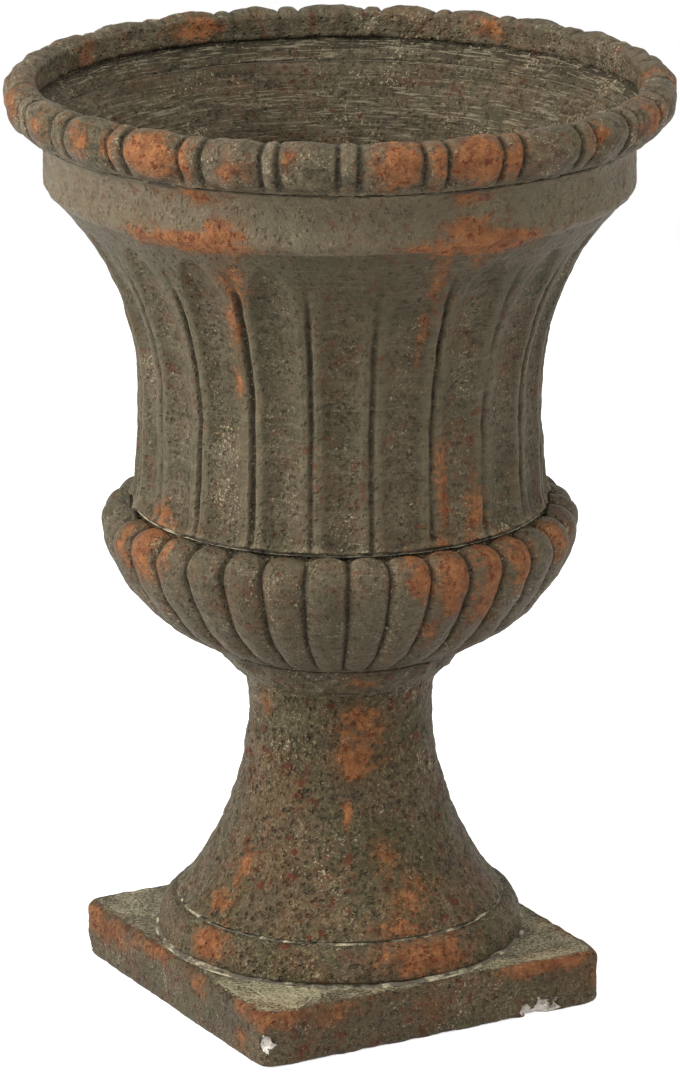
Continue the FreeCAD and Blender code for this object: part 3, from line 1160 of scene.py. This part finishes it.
@dataclass
class LimeBed(TurnedMember):
    """A thin crumbling ring of lime between two members.

    Attributes:
        inner: Inner radius.
        low_outer: Outer radius at its foot.
        high_outer: Outer radius at its top.
        soiled: How dirty and sunk back it is, from 0 to 1.
        sunk: How far a wholly soiled bed is sunk back.
        crumbled: How far a wholly soiled bed is crumbled.
        crumb: Size of the crumbs.
        proud: How far a crumb may stand proud.
    """

    gap: float = 0.0004
    inner: float = 0.0
    low_outer: float = 0.0
    high_outer: float = 0.0
    soiled: float = 0.0
    sunk: float = 0.0013
    crumbled: float = 0.0016
    crumb: float = 0.011
    proud: float = 0.0004

    def outline(self) -> Outline:
        """A thin ring whose outer edge may slope.

        Returns:
            The closed outline.
        """
        line = Outline([self.inner], [self.low], [Zone.SEAT])
        line.line(self.low_outer, self.low, 8, Zone.SEAT)
        line.line(self.high_outer, self.high, 6, Zone.OUTSIDE)
        line.line(self.inner, self.high, 8, Zone.SEAT)
        line.line(self.inner, self.low + self.gap, 2, Zone.INSIDE)
        return line

    def relief(self, sheet: Sheet) -> Grid:
        """A soiled joint is sunk back a little.

        Args:
            sheet: The member's rows and columns.

        Returns:
            A grid of depths.
        """
        crumbs = cloudy(self.spread_out(sheet), self.crumb, self.seed + 2, 3)
        depth = self.soiled * (self.sunk + self.crumbled * crumbs)
        return np.clip(depth, -self.proud, None) * sheet.within(Zone.OUTSIDE)

    def dirt_and_shade(self, sheet: Sheet) -> Grid:
        """A soiled joint is dirty outside, and every joint is inside."""
        return np.maximum(self.soiled * sheet.within(Zone.OUTSIDE), sheet.within(Zone.INSIDE))


@dataclass(frozen=True)
class Cloud:
    """Settings of a cloudy noise, and of the patches cut out of it.

    Attributes:
        scale: Lumps per metre.
        detail: Layers of finer noise.
        rough: Strength of the finer layers.
        low: Level where a patch begins.
        high: Level where a patch is full.
    """

    scale: Feed
    detail: float
    rough: float
    low: float = 0.0
    high: float = 1.0


class Bench:
    """Places nodes in one tree and wires them."""

    def __init__(self, tree: bpy.types.NodeTree) -> None:
        """Works on a tree."""
        self.tree = tree

    def add(self, kind: str, **settings: object) -> bpy.types.Node:
        """Places a node.

        Args:
            kind: Its type.
            settings: Properties to set on it.

        Returns:
            The node.
        """
        node = self.tree.nodes.new(kind)
        for name, value in settings.items():
            setattr(node, name, value)
        return node

    def feed(self, socket: Socket, value: Feed) -> None:
        """Wires a socket to another, or sets its value.

        Args:
            socket: The socket to feed.
            value: Another socket, or a value.
        """
        if isinstance(value, Socket):
            self.tree.links.new(value, socket)
        else:
            socket.default_value = value

    def wired(self, kind: str, inputs: dict[int | str, Feed], output: int | str,
              **settings: object) -> Socket:
        """Places a node and feeds it.

        Args:
            kind: Its type.
            inputs: A socket or value for each input.
            output: Which output to give.
            settings: Properties to set on it.

        Returns:
            That output.
        """
        node = self.add(kind, **settings)
        for name, value in inputs.items():
            self.feed(node.inputs[name], value)
        return node.outputs[output]

    def math(self, operation: str, first: Feed, second: Feed, clamp: bool = False) -> Socket:
        """A sum on two values.

        Args:
            operation: Name of the sum.
            first: Socket or number.
            second: Socket or number.
            clamp: Whether to keep the result from 0 to 1.

        Returns:
            The result.
        """
        return self.wired("ShaderNodeMath", {0: first, 1: second}, 0, operation=operation, use_clamp=clamp)

    def plus(self, first: Feed, second: Feed) -> Socket:
        """Two values added."""
        return self.math("ADD", first, second)

    def less(self, first: Feed, second: Feed) -> Socket:
        """The second value taken from the first."""
        return self.math("SUBTRACT", first, second)

    def times(self, first: Feed, second: Feed, clamp: bool = False) -> Socket:
        """Two values multiplied."""
        return self.math("MULTIPLY", first, second, clamp)

    def most(self, first: Feed, second: Feed) -> Socket:
        """The larger of two values."""
        return self.math("MAXIMUM", first, second)

    def weighed(self, first: Feed, weight: Feed, second: Feed, other: Feed) -> Socket:
        """Two values added, each times its weight."""
        return self.plus(self.times(first, weight), self.times(second, other))

    def mix(self, share: Feed, first: Feed, second: Feed, blend: str = "MIX") -> Socket:
        """Lays one colour over another.

        Args:
            share: How much of the second shows.
            first: Socket or colour below.
            second: Socket or colour above.
            blend: How they blend.

        Returns:
            The mixed colour.
        """
        inputs = {"Factor": share, 6: first, 7: second}
        return self.wired("ShaderNodeMix", inputs, 2, data_type="RGBA", blend_type=blend)

    def step(self, value: Feed, low: float, high: float) -> Socket:
        """A soft step from 0 at low to 1 at high."""
        inputs = {"Value": value, "From Min": low, "From Max": high}
        return self.wired("ShaderNodeMapRange", inputs, "Result", interpolation_type="SMOOTHSTEP")

    def scaled(self, vector: Socket, scale: Triple) -> Socket:
        """A vector stretched along each axis."""
        return self.wired("ShaderNodeVectorMath", {0: vector, 1: scale}, 0, operation="MULTIPLY")

    def noise(self, vector: Socket, cloud: Cloud) -> Socket:
        """Cloudy noise from 0 to 1."""
        inputs = {"Vector": vector, "Scale": cloud.scale, "Detail": cloud.detail, "Roughness": cloud.rough}
        return self.wired("ShaderNodeTexNoise", inputs, "Fac")

    def patches(self, vector: Socket, cloud: Cloud) -> Socket:
        """Soft-edged patches of a cloudy noise."""
        return self.step(self.noise(vector, cloud), cloud.low, cloud.high)

    def cells(self, vector: Socket, scale: float) -> Socket:
        """Distance to the nearest of many scattered points."""
        return self.wired("ShaderNodeTexVoronoi", {"Vector": vector, "Scale": scale}, "Distance")

    def mask(self, mask: Mask) -> Socket:
        """A value stored on the mesh."""
        return self.add("ShaderNodeAttribute", attribute_name=mask.value).outputs["Fac"]

    def place(self) -> Socket:
        """Where a point lies on its piece."""
        return self.add("ShaderNodeTexCoord").outputs["Object"]

    def bump(self, height: Socket, distance: float) -> Socket:
        """A normal that leans with a height, whose full range is a distance."""
        return self.wired("ShaderNodeBump", {"Height": height, "Distance": distance}, "Normal")


class Effect:
    """A node group that several finishes share."""

    name = "effect"
    takes: dict[str, Kind] = {}
    gives: dict[str, Kind] = {}

    def __init__(self) -> None:
        """Makes the group once, with its named sockets."""
        self.tree = bpy.data.node_groups.new(self.name, "ShaderNodeTree")
        for way, sockets in (("INPUT", self.takes), ("OUTPUT", self.gives)):
            for label, kind in sockets.items():
                self.tree.interface.new_socket(label, in_out=way, socket_type=kind.value)
        bench = Bench(self.tree)
        source = bench.add("NodeGroupInput").outputs
        target = bench.add("NodeGroupOutput").inputs
        for label, value in self.wire(bench, source).items():
            bench.feed(target[label], value)

    def wire(self, bench: Bench, source: Outputs) -> dict[str, Socket]:
        """Builds the effect.

        Args:
            bench: Where to place nodes.
            source: The group's inputs.

        Returns:
            A socket for each output.
        """
        raise NotImplementedError

    def place(self, bench: Bench, **values: Feed) -> Outputs:
        """Puts the effect in a material.

        Args:
            bench: The material's bench.
            values: A socket or value for each input.

        Returns:
            The group's outputs.
        """
        node = bench.add("ShaderNodeGroup", node_tree=self.tree)
        for label, value in values.items():
            bench.feed(node.inputs[label], value)
        return node.outputs


class WeatheredCoat(Effect):
    """A dull earthy coat with clouds, olive stains, grit and brush lines."""

    name = "weathered_coat"
    takes = {"Position": Kind.VECTOR, "Dark": Kind.COLOUR, "Mid": Kind.COLOUR, "Light": Kind.COLOUR,
             "Stain": Kind.COLOUR, "Warm": Kind.COLOUR, "Brush": Kind.VALUE, "Grit": Kind.VALUE}
    gives = {"Color": Kind.COLOUR, "Height": Kind.VALUE}
    broad = Cloud(26.0, 5.0, 0.65)
    fine = Cloud(90.0, 6.0, 0.75)
    grains = Cloud(620.0, 4.0, 0.8)
    strokes = Cloud(1.0, 5.0, 0.7)
    stroke_stretch = (26.0, 26.0, 520.0)
    olive = Cloud(22.0, 4.0, 0.65, 0.46, 0.60)
    brown = Cloud(31.0, 5.0, 0.7, 0.50, 0.64)
    pocks = Cloud(290.0, 3.0, 0.6, 0.43, 0.35)

    def wire(self, bench: Bench, source: Outputs) -> dict[str, Socket]:
        """Clouds pick between three tones, and grit and level brush lines break them up.

        Args:
            bench: Where to place nodes.
            source: The group's inputs.

        Returns:
            A socket for each output.
        """
        place, dark, light = source["Position"], source["Dark"], source["Light"]
        brush, grit = source["Brush"], source["Grit"]
        grains = bench.noise(place, self.grains)
        lines = bench.noise(bench.scaled(place, self.stroke_stretch), self.strokes)
        tone = bench.weighed(bench.noise(place, self.broad), 0.55, bench.noise(place, self.fine), 0.45)
        tone = bench.plus(tone, bench.times(bench.less(grains, 0.5), grit))
        colour = bench.mix(bench.step(tone, 0.24, 0.46), dark, source["Mid"])
        stained = bench.times(bench.patches(place, self.olive), 0.75)
        colour = bench.mix(stained, colour, source["Stain"])
        warmed = bench.times(bench.patches(place, self.brown), 0.7)
        colour = bench.mix(warmed, colour, source["Warm"])
        colour = bench.mix(bench.step(tone, 0.54, 0.82), colour, light)
        colour = bench.mix(bench.times(bench.step(lines, 0.52, 0.70), brush), colour, light)
        colour = bench.mix(bench.times(bench.step(lines, 0.46, 0.30), brush), colour, dark)
        pocked = bench.patches(place, self.pocks)
        colour = bench.mix(bench.times(pocked, bench.times(grit, 0.46)), colour, dark)
        height = bench.less(bench.weighed(grains, 0.4, lines, brush), bench.times(pocked, 0.3))
        return {"Color": colour, "Height": height}


class BareClay(Effect):
    """Terracotta that shows where the coat is thin or gone, with dark red spots."""

    name = "bare_clay"
    takes = {"Position": Kind.VECTOR, "Placed": Kind.VALUE, "Crest": Kind.VALUE, "Spread": Kind.VALUE}
    gives = {"Mask": Kind.VALUE, "Color": Kind.COLOUR}
    ragged = Cloud(75.0, 6.0, 0.8)
    fine = Cloud(420.0, 4.0, 0.75)
    burnt = Cloud(110.0, 5.0, 0.7, 0.36, 0.62)
    spots = Cloud(240.0, 3.0, 0.6, 0.55, 0.63)
    deep_tone: Tint = (0.150, 0.052, 0.018, 1)
    bright_tone: Tint = (0.258, 0.102, 0.037, 1)
    pale_tone: Tint = (0.34, 0.166, 0.076, 1)
    spot_tone: Tint = (0.105, 0.022, 0.007, 1)
    edge_tone: Tint = (0.105, 0.043, 0.016, 1)

    def wire(self, bench: Bench, source: Outputs) -> dict[str, Socket]:
        """Broken patches round the placed spots and on worn crests, in several oranges.

        Args:
            bench: Where to place nodes.
            source: The group's inputs.

        Returns:
            A socket for each output.
        """
        place = source["Position"]
        fine = bench.noise(place, self.fine)
        edge = bench.weighed(bench.noise(place, self.ragged), 1.9, fine, 0.9)
        worn = bench.plus(source["Placed"], bench.times(source["Crest"], 0.10))
        level = bench.plus(bench.plus(worn, source["Spread"]), edge)
        thin = bench.times(bench.step(level, 1.76, 2.02), 0.4)
        mask = bench.most(thin, bench.times(bench.step(level, 1.95, 2.24), 0.95))
        colour = bench.mix(bench.patches(place, self.burnt), self.deep_tone, self.bright_tone)
        colour = bench.mix(bench.times(bench.step(fine, 0.55, 0.72), 0.6), colour, self.pale_tone)
        spotted = bench.times(bench.patches(place, self.spots), 0.9)
        colour = bench.mix(spotted, colour, self.spot_tone)
        colour = bench.mix(bench.step(level, 1.88, 2.14), self.edge_tone, colour)
        return {"Mask": mask, "Color": colour}


class RustSpecks(Effect):
    """Small dark red-brown specks in two sizes."""

    name = "rust_specks"
    takes = {"Position": Kind.VECTOR, "Scale": Kind.VALUE, "Amount": Kind.VALUE}
    gives = {"Mask": Kind.VALUE}
    drifts = Cloud(30.0, 3.0, 0.6, 0.38, 0.60)

    def wire(self, bench: Bench, source: Outputs) -> dict[str, Socket]:
        """Specks in loose drifts.

        Args:
            bench: Where to place nodes.
            source: The group's inputs.

        Returns:
            A socket for each output.
        """
        place, scale = source["Position"], source["Scale"]
        large = bench.patches(place, Cloud(scale, 3.0, 0.6, 0.575, 0.635))
        small = bench.patches(place, Cloud(bench.times(scale, 2.6), 2.0, 0.5, 0.61, 0.67))
        drift = bench.patches(place, self.drifts)
        specks = bench.times(bench.most(large, bench.times(small, 0.8)), drift)
        return {"Mask": bench.times(specks, source["Amount"], True)}


class LimeDust(Effect):
    """Pale lime left in grooves and joints."""

    name = "lime_dust"
    takes = {"Position": Kind.VECTOR, "Groove": Kind.VALUE, "Seam": Kind.VALUE, "Amount": Kind.VALUE}
    gives = {"Mask": Kind.VALUE}
    crumbs = Cloud(600.0, 4.0, 0.8)
    drifts = Cloud(42.0, 4.0, 0.65)

    def wire(self, bench: Bench, source: Outputs) -> dict[str, Socket]:
        """Crumbs that lie thickest in the joints.

        Args:
            bench: Where to place nodes.
            source: The group's inputs.

        Returns:
            A socket for each output.
        """
        place = source["Position"]
        hold = bench.weighed(source["Groove"], 0.13, source["Seam"], 0.20)
        loose = bench.weighed(bench.noise(place, self.crumbs), 0.9, bench.noise(place, self.drifts), 0.5)
        mask = bench.step(bench.plus(hold, loose), 0.90, 1.04)
        return {"Mask": bench.times(mask, source["Amount"], True)}


class PaleFlecks(Effect):
    """Tiny pale grains on the skin."""

    name = "pale_flecks"
    takes = {"Position": Kind.VECTOR, "Crest": Kind.VALUE, "Amount": Kind.VALUE}
    gives = {"Mask": Kind.VALUE}
    grains = Cloud(640.0, 3.0, 0.7)
    drifts = Cloud(38.0, 5.0, 0.75)

    def wire(self, bench: Bench, source: Outputs) -> dict[str, Socket]:
        """Grains in drifts, more of them on the crests.

        Args:
            bench: Where to place nodes.
            source: The group's inputs.

        Returns:
            A socket for each output.
        """
        place = source["Position"]
        level = bench.plus(bench.noise(place, self.grains), bench.times(source["Crest"], 0.06))
        level = bench.plus(level, bench.times(bench.noise(place, self.drifts), 0.6))
        return {"Mask": bench.times(bench.step(level, 0.935, 1.005), source["Amount"], True)}


class CastGrain(Effect):
    """The bumpy, pitted skin of a rough casting."""

    name = "cast_grain"
    takes = {"Position": Kind.VECTOR, "Coarse": Kind.VALUE, "Fine": Kind.VALUE, "Pits": Kind.VALUE}
    gives = {"Height": Kind.VALUE}
    pits_per_metre = 240.0

    def wire(self, bench: Bench, source: Outputs) -> dict[str, Socket]:
        """Two sizes of grain with small pits cut into them.

        Args:
            bench: Where to place nodes.
            source: The group's inputs.

        Returns:
            A socket for each output.
        """
        place = source["Position"]
        coarse = bench.noise(place, Cloud(source["Coarse"], 4.0, 0.6))
        fine = bench.noise(place, Cloud(source["Fine"], 3.0, 0.6))
        pits = bench.less(1.0, bench.step(bench.cells(place, self.pits_per_metre), 0.10, 0.32))
        grain = bench.weighed(coarse, 0.7, fine, 0.3)
        return {"Height": bench.less(grain, bench.times(pits, source["Pits"]))}


def fresh_material(name: str) -> tuple[bpy.types.Material, Bench, bpy.types.Node]:
    """Makes a material that has only its shader and output.

    Args:
        name: Name of the material.

    Returns:
        The material, its bench and its shader.
    """
    material = bpy.data.materials.new(name)
    material.use_nodes = True
    material.node_tree.nodes.clear()
    bench = Bench(material.node_tree)
    shader = bench.add("ShaderNodeBsdfPrincipled")
    output = bench.add("ShaderNodeOutputMaterial")
    bench.feed(output.inputs["Surface"], shader.outputs["BSDF"])
    return material, bench, shader


@dataclass(frozen=True)
class CastFinish:
    """The aged coat of a casting.

    Attributes:
        slot: The record's material slot.
        dark: Darkest tone of the coat.
        mid: Middle tone.
        light: Lightest tone.
        stain: Olive stain.
        warm: Brown stain.
        brush: Strength of the level brush lines.
        grit: Strength of the fine light and dark grains.
        specks: Strength of the rust specks.
        speck_scale: Specks per metre.
        flecks: Strength of the pale grains.
        spread: How far bare clay spreads beyond its placed patches.
        coarse: Coarse grain, lumps per metre.
        grain: Height of the grain.
        pits: Depth of the pits.
        lime: Strength of the lime in joints and grooves.
    """

    slot: str
    dark: Tint
    mid: Tint
    light: Tint
    stain: Tint
    warm: Tint
    brush: float
    grit: float
    specks: float
    speck_scale: float
    flecks: float
    spread: float
    coarse: float
    grain: float
    pits: float
    lime: float
    roughness: float = 0.54
    sheen: float = 0.12
    streak_stretch: Triple = (0.10, 0.10, 1.8)
    break_edge: Cloud = Cloud(330.0, 3.0, 0.6)

    def make(self, effects: dict[type[Effect], Effect]) -> bpy.types.Material:
        """Builds the material, from the coat outwards.

        Args:
            effects: The shared effects by kind.

        Returns:
            The material.
        """
        material, bench, shader = fresh_material(self.slot + "_aged")
        place = bench.place()
        crest, groove, seam, bare, chip, inside, coarse = (bench.mask(mask) for mask in Mask)
        brush = bench.plus(bench.times(inside, 0.55), self.brush)
        grit = bench.times(bench.plus(bench.times(coarse, 0.6), 0.4), self.grit)
        coat = effects[WeatheredCoat].place(
            bench, Position=place, Dark=self.dark, Mid=self.mid, Light=self.light, Stain=self.stain,
            Warm=self.warm, Brush=brush, Grit=grit)
        colour = bench.mix(bench.times(bench.less(1.0, coarse), 0.35), coat["Color"], self.stain)
        # Crests and the collar are lightened: partly worn edges, partly painted highlight.
        colour = bench.mix(bench.times(crest, 0.40), colour, self.light)
        specks = effects[RustSpecks].place(bench, Position=place, Scale=self.speck_scale, Amount=self.specks)
        colour = bench.mix(specks["Mask"], colour, RUST)
        clay = effects[BareClay].place(bench, Position=place, Placed=bare, Crest=crest, Spread=self.spread)
        colour = bench.mix(clay["Mask"], colour, clay["Color"])
        # Grooves and the marked rows are darkened towards soot: partly dirt, partly painted shade in the
        # grooves, under the lobes and under the rim's lip.
        colour = bench.mix(bench.times(groove, 0.74), colour, SOOT_AND_SHADE)
        colour = bench.mix(inside, colour, INSIDE_SHADE, "MULTIPLY")
        covered = bench.less(1.0, bench.times(clay["Mask"], 0.6))
        flecked = bench.times(bench.times(coarse, covered), self.flecks)
        flecks = effects[PaleFlecks].place(bench, Position=place, Crest=crest, Amount=flecked)
        colour = bench.mix(flecks["Mask"], colour, PALE_GRAIN)
        stretched = bench.scaled(place, self.streak_stretch)
        streaks = effects[PaleFlecks].place(bench, Position=stretched, Crest=inside, Amount=brush)
        colour = bench.mix(streaks["Mask"], colour, PALE_STREAK)
        lime = effects[LimeDust].place(bench, Position=place, Groove=groove, Seam=seam, Amount=self.lime)
        colour = bench.mix(lime["Mask"], colour, LIME_CRUMB)
        jagged = bench.times(bench.noise(place, self.break_edge), 0.7)
        broken = bench.step(bench.plus(chip, jagged), 0.66, 0.72)
        broken = bench.times(broken, bench.step(chip, 0.02, 0.10))
        bench.feed(shader.inputs["Base Color"], bench.mix(broken, colour, WHITE_CORE))
        rough = bench.plus(bench.times(clay["Mask"], 0.15), self.roughness)
        bench.feed(shader.inputs["Roughness"], rough)
        bench.feed(shader.inputs["Specular IOR Level"], self.sheen)
        grain = effects[CastGrain].place(
            bench, Position=place, Coarse=self.coarse, Fine=self.coarse * 4.2, Pits=self.pits)
        height = bench.plus(grain["Height"], bench.times(coat["Height"], 0.5))
        height = bench.plus(height, bench.times(lime["Mask"], 0.25))
        bench.feed(shader.inputs["Normal"], bench.bump(height, self.grain))
        return material


@dataclass(frozen=True)
class LimeFinish:
    """Crumbling pale lime, which the weather has soiled more in some joints."""

    slot: str = "lime_bedding"
    pale: Tint = (0.40, 0.35, 0.22, 1)
    dull: Tint = (0.075, 0.060, 0.038, 1)
    roughness: float = 0.9
    grain: float = 0.0016
    stains: Cloud = Cloud(90.0, 5.0, 0.7)

    def make(self, effects: dict[type[Effect], Effect]) -> bpy.types.Material:
        """Builds the material.

        Args:
            effects: The shared effects by kind.

        Returns:
            The material.
        """
        material, bench, shader = fresh_material(self.slot + "_crumbs")
        place = bench.place()
        soiled = bench.times(bench.mask(Mask.GROOVE), 0.3)
        cloud = bench.plus(bench.noise(place, self.stains), soiled)
        colour = bench.mix(bench.step(cloud, 0.44, 0.62), self.pale, self.dull)
        bench.feed(shader.inputs["Base Color"], colour)
        bench.feed(shader.inputs["Roughness"], self.roughness)
        grain = effects[CastGrain].place(bench, Position=place, Coarse=300.0, Fine=900.0, Pits=0.5)
        bench.feed(shader.inputs["Normal"], bench.bump(grain["Height"], self.grain))
        return material


@dataclass(frozen=True)
class Lamp:
    """A soft square lamp that looks at the middle of the urn.

    Attributes:
        name: Name of the lamp.
        azimuth: Degrees round the urn from the camera's side.
        distance: Distance from the axis.
        height: Height above the ground.
        size: Width of the lamp.
        power: Its power in watts.
    """

    name: str
    azimuth: float
    distance: float
    height: float
    size: float
    power: float

    def hang(self, aim: float) -> None:
        """Hangs the lamp so that it looks at a height on the axis.

        Args:
            aim: The height that it looks at.
        """
        data = bpy.data.lights.new(self.name, "AREA")
        data.size = self.size
        data.energy = self.power
        lamp = bpy.data.objects.new(self.name, data)
        turn = CAMERA_AZIMUTH + math.radians(self.azimuth)
        lamp.location = (self.distance * math.sin(turn), -self.distance * math.cos(turn), self.height)
        lamp.rotation_euler = (math.atan2(self.distance, self.height - aim), 0, turn)
        bpy.context.scene.collection.objects.link(lamp)


@dataclass
class Studio:
    """The pale floor, soft light and camera."""

    image_height: float = 1077.0
    focal_pixels: float = 6171.0
    sensor: float = 36.0
    distance: float = 3.127
    eye_height: float = 1.1905
    pitch: float = math.radians(16.79)
    floor_radius: float = 1.6
    floor_tint: Tint = (0.72, 0.72, 0.72, 1)
    floor_glow: float = 0.66
    sky_light: float = 0.24
    sky_seen: float = 0.76
    lamp_aim: float = 0.28
    lamps: tuple[Lamp, ...] = (
        Lamp("left_softbox", -78.0, 2.2, 1.3, 0.9, 73.0),
        Lamp("right_softbox", 82.0, 2.2, 1.4, 0.9, 32.0),
        Lamp("top_softbox", -12.0, 1.3, 2.5, 1.0, 45.0),
        Lamp("front_softbox", -30.0, 2.6, 1.0, 1.2, 28.0),
    )

    def seen(self, bench: Bench) -> Socket:
        """1 for rays that show the background itself, and 0 for those that carry its light.

        Args:
            bench: Where to place nodes.

        Returns:
            The share.
        """
        rays = bench.add("ShaderNodeLightPath").outputs
        straight = bench.most(rays["Is Camera Ray"], rays["Is Glossy Ray"])
        return bench.most(straight, rays["Is Transmission Ray"])

    def floor(self) -> None:
        """Lays a wide pale floor that the camera sees as white."""
        bpy.ops.mesh.primitive_circle_add(
            vertices=96, radius=self.floor_radius, fill_type="NGON", location=(0, 0, 0))
        floor = bpy.context.object
        floor.name = "studio_floor"
        material, bench, shader = fresh_material("pale_floor")
        looks = {
            "Base Color": self.floor_tint,
            "Roughness": 0.9,
            "Specular IOR Level": 0.1,
            "Emission Color": WHITE,
            "Emission Strength": bench.times(self.seen(bench), self.floor_glow),
        }
        for label, value in looks.items():
            bench.feed(shader.inputs[label], value)
        floor.data.materials.append(material)

    def sky(self) -> None:
        """Surrounds the scene with even light that the camera sees as white."""
        world = bpy.data.worlds.new("even_light")
        bpy.context.scene.world = world
        world.use_nodes = True
        bench = Bench(world.node_tree)
        back = world.node_tree.nodes["Background"]
        bench.feed(back.inputs["Color"], WHITE)
        strength = bench.plus(bench.times(self.seen(bench), self.sky_seen), self.sky_light)
        bench.feed(back.inputs["Strength"], strength)

    def camera(self) -> None:
        """Sets the camera at the photograph's angle."""
        data = bpy.data.cameras.new("photo_camera")
        data.sensor_width = self.sensor
        data.lens = self.focal_pixels * self.sensor / self.image_height
        data.clip_end = 100.0
        eye = bpy.data.objects.new("photo_camera", data)
        across, away = math.sin(CAMERA_AZIMUTH), -math.cos(CAMERA_AZIMUTH)
        eye.location = (self.distance * across, self.distance * away, self.eye_height)
        eye.rotation_euler = (math.pi / 2 - self.pitch, 0, CAMERA_AZIMUTH)
        bpy.context.scene.collection.objects.link(eye)
        bpy.context.scene.camera = eye

    def build(self) -> None:
        """Sets up the whole studio."""
        self.floor()
        self.sky()
        for lamp in self.lamps:
            lamp.hang(self.lamp_aim)
        self.camera()
        bpy.context.scene.view_settings.view_transform = "Standard"


def urn_members() -> list[TurnedMember]:
    """The urn's members, from the ground up.

    Returns:
        The members.
    """
    rough = {"slot": "rough_casting", "body": "pedestal"}
    smooth = {"slot": "smooth_casting", "body": "bowl"}
    lime = {"slot": "lime_bedding", "columns": 420, "lump": 0.007, "uneven": 0.0006}
    return [
        Plinth("plinth", columns=1120, lump=0.006, uneven=0.0003, seed=11, **rough),
        LimeBed("plinth_bed", "pedestal", seed=12, inner=0.0755, low_outer=0.0995, high_outer=0.0975,
                soiled=0.4, **lime),
        FootRing("foot_ring", columns=600, lump=0.007, uneven=0.0006, seed=13, **rough),
        LimeBed("foot_joint", "pedestal", seed=14, inner=0.0755, low_outer=0.0875, high_outer=0.0872,
                soiled=0.25, **lime),
        Stem("stem", columns=600, lump=0.007, uneven=0.0008, seed=15, **rough),
        NeckRing("neck_ring", columns=480, lump=0.009, uneven=0.0011, seed=16, **smooth),
        GadroonBowl("gadroon_bowl", columns=816, lump=0.012, uneven=0.0007, seed=17, wear_and_shading_depth=0.0014, **smooth),
        LimeBed("bell_joint", "bowl", seed=18, inner=0.0966, low_outer=0.1094, high_outer=0.1090,
                soiled=1.0, **lime),
        FlutedBell("fluted_bell", columns=1050, lump=0.012, uneven=0.0006, seed=19, wear_and_shading_depth=0.0010, **smooth),
        LimeBed("rim_joint", "bowl", seed=20, inner=0.1515, low_outer=0.1608, high_outer=0.1608,
                soiled=1.0, **lime),
        BeadedRim("rim_ring", columns=1200, lump=0.008, uneven=0.0007, seed=21, **smooth),
    ]


def make_finishes() -> dict[str, bpy.types.Material]:
    """Makes the shared effects and every finish.

    Returns:
        A material for each slot.
    """
    kinds = (WeatheredCoat, BareClay, RustSpecks, LimeDust, PaleFlecks, CastGrain)
    effects = {kind: kind() for kind in kinds}
    finishes = (
        CastFinish("smooth_casting", dark=(0.024, 0.017, 0.008, 1), mid=(0.086, 0.067, 0.040, 1),
                   light=(0.195, 0.153, 0.099, 1), stain=(0.058, 0.053, 0.028, 1),
                   warm=(0.098, 0.062, 0.032, 1), brush=0.32, grit=1.4,
                   specks=0.6, speck_scale=150.0, flecks=0.9, spread=0.0,
                   coarse=200.0, grain=0.0032, pits=0.36, lime=0.9),
        CastFinish("rough_casting", dark=(0.022, 0.015, 0.007, 1), mid=(0.084, 0.062, 0.033, 1),
                   light=(0.200, 0.145, 0.083, 1), stain=(0.056, 0.050, 0.021, 1),
                   warm=(0.100, 0.058, 0.028, 1), brush=0.0, grit=1.7,
                   specks=0.95, speck_scale=140.0, flecks=0.9, spread=0.02,
                   coarse=180.0, grain=0.0054, pits=0.46, lime=0.9),
        LimeFinish(),
    )
    return {finish.slot: finish.make(effects) for finish in finishes}


def main() -> None:
    """Builds and dresses every member, then sets up the studio."""
    logging.basicConfig(level=logging.INFO)
    finishes = make_finishes()
    for member in urn_members():
        piece = member.build()
        member.dress(piece, finishes)
        LOG.info("%s: %d faces", piece.name, len(piece.data.polygons))
    Studio().build()


if __name__ == "__main__":
    main()
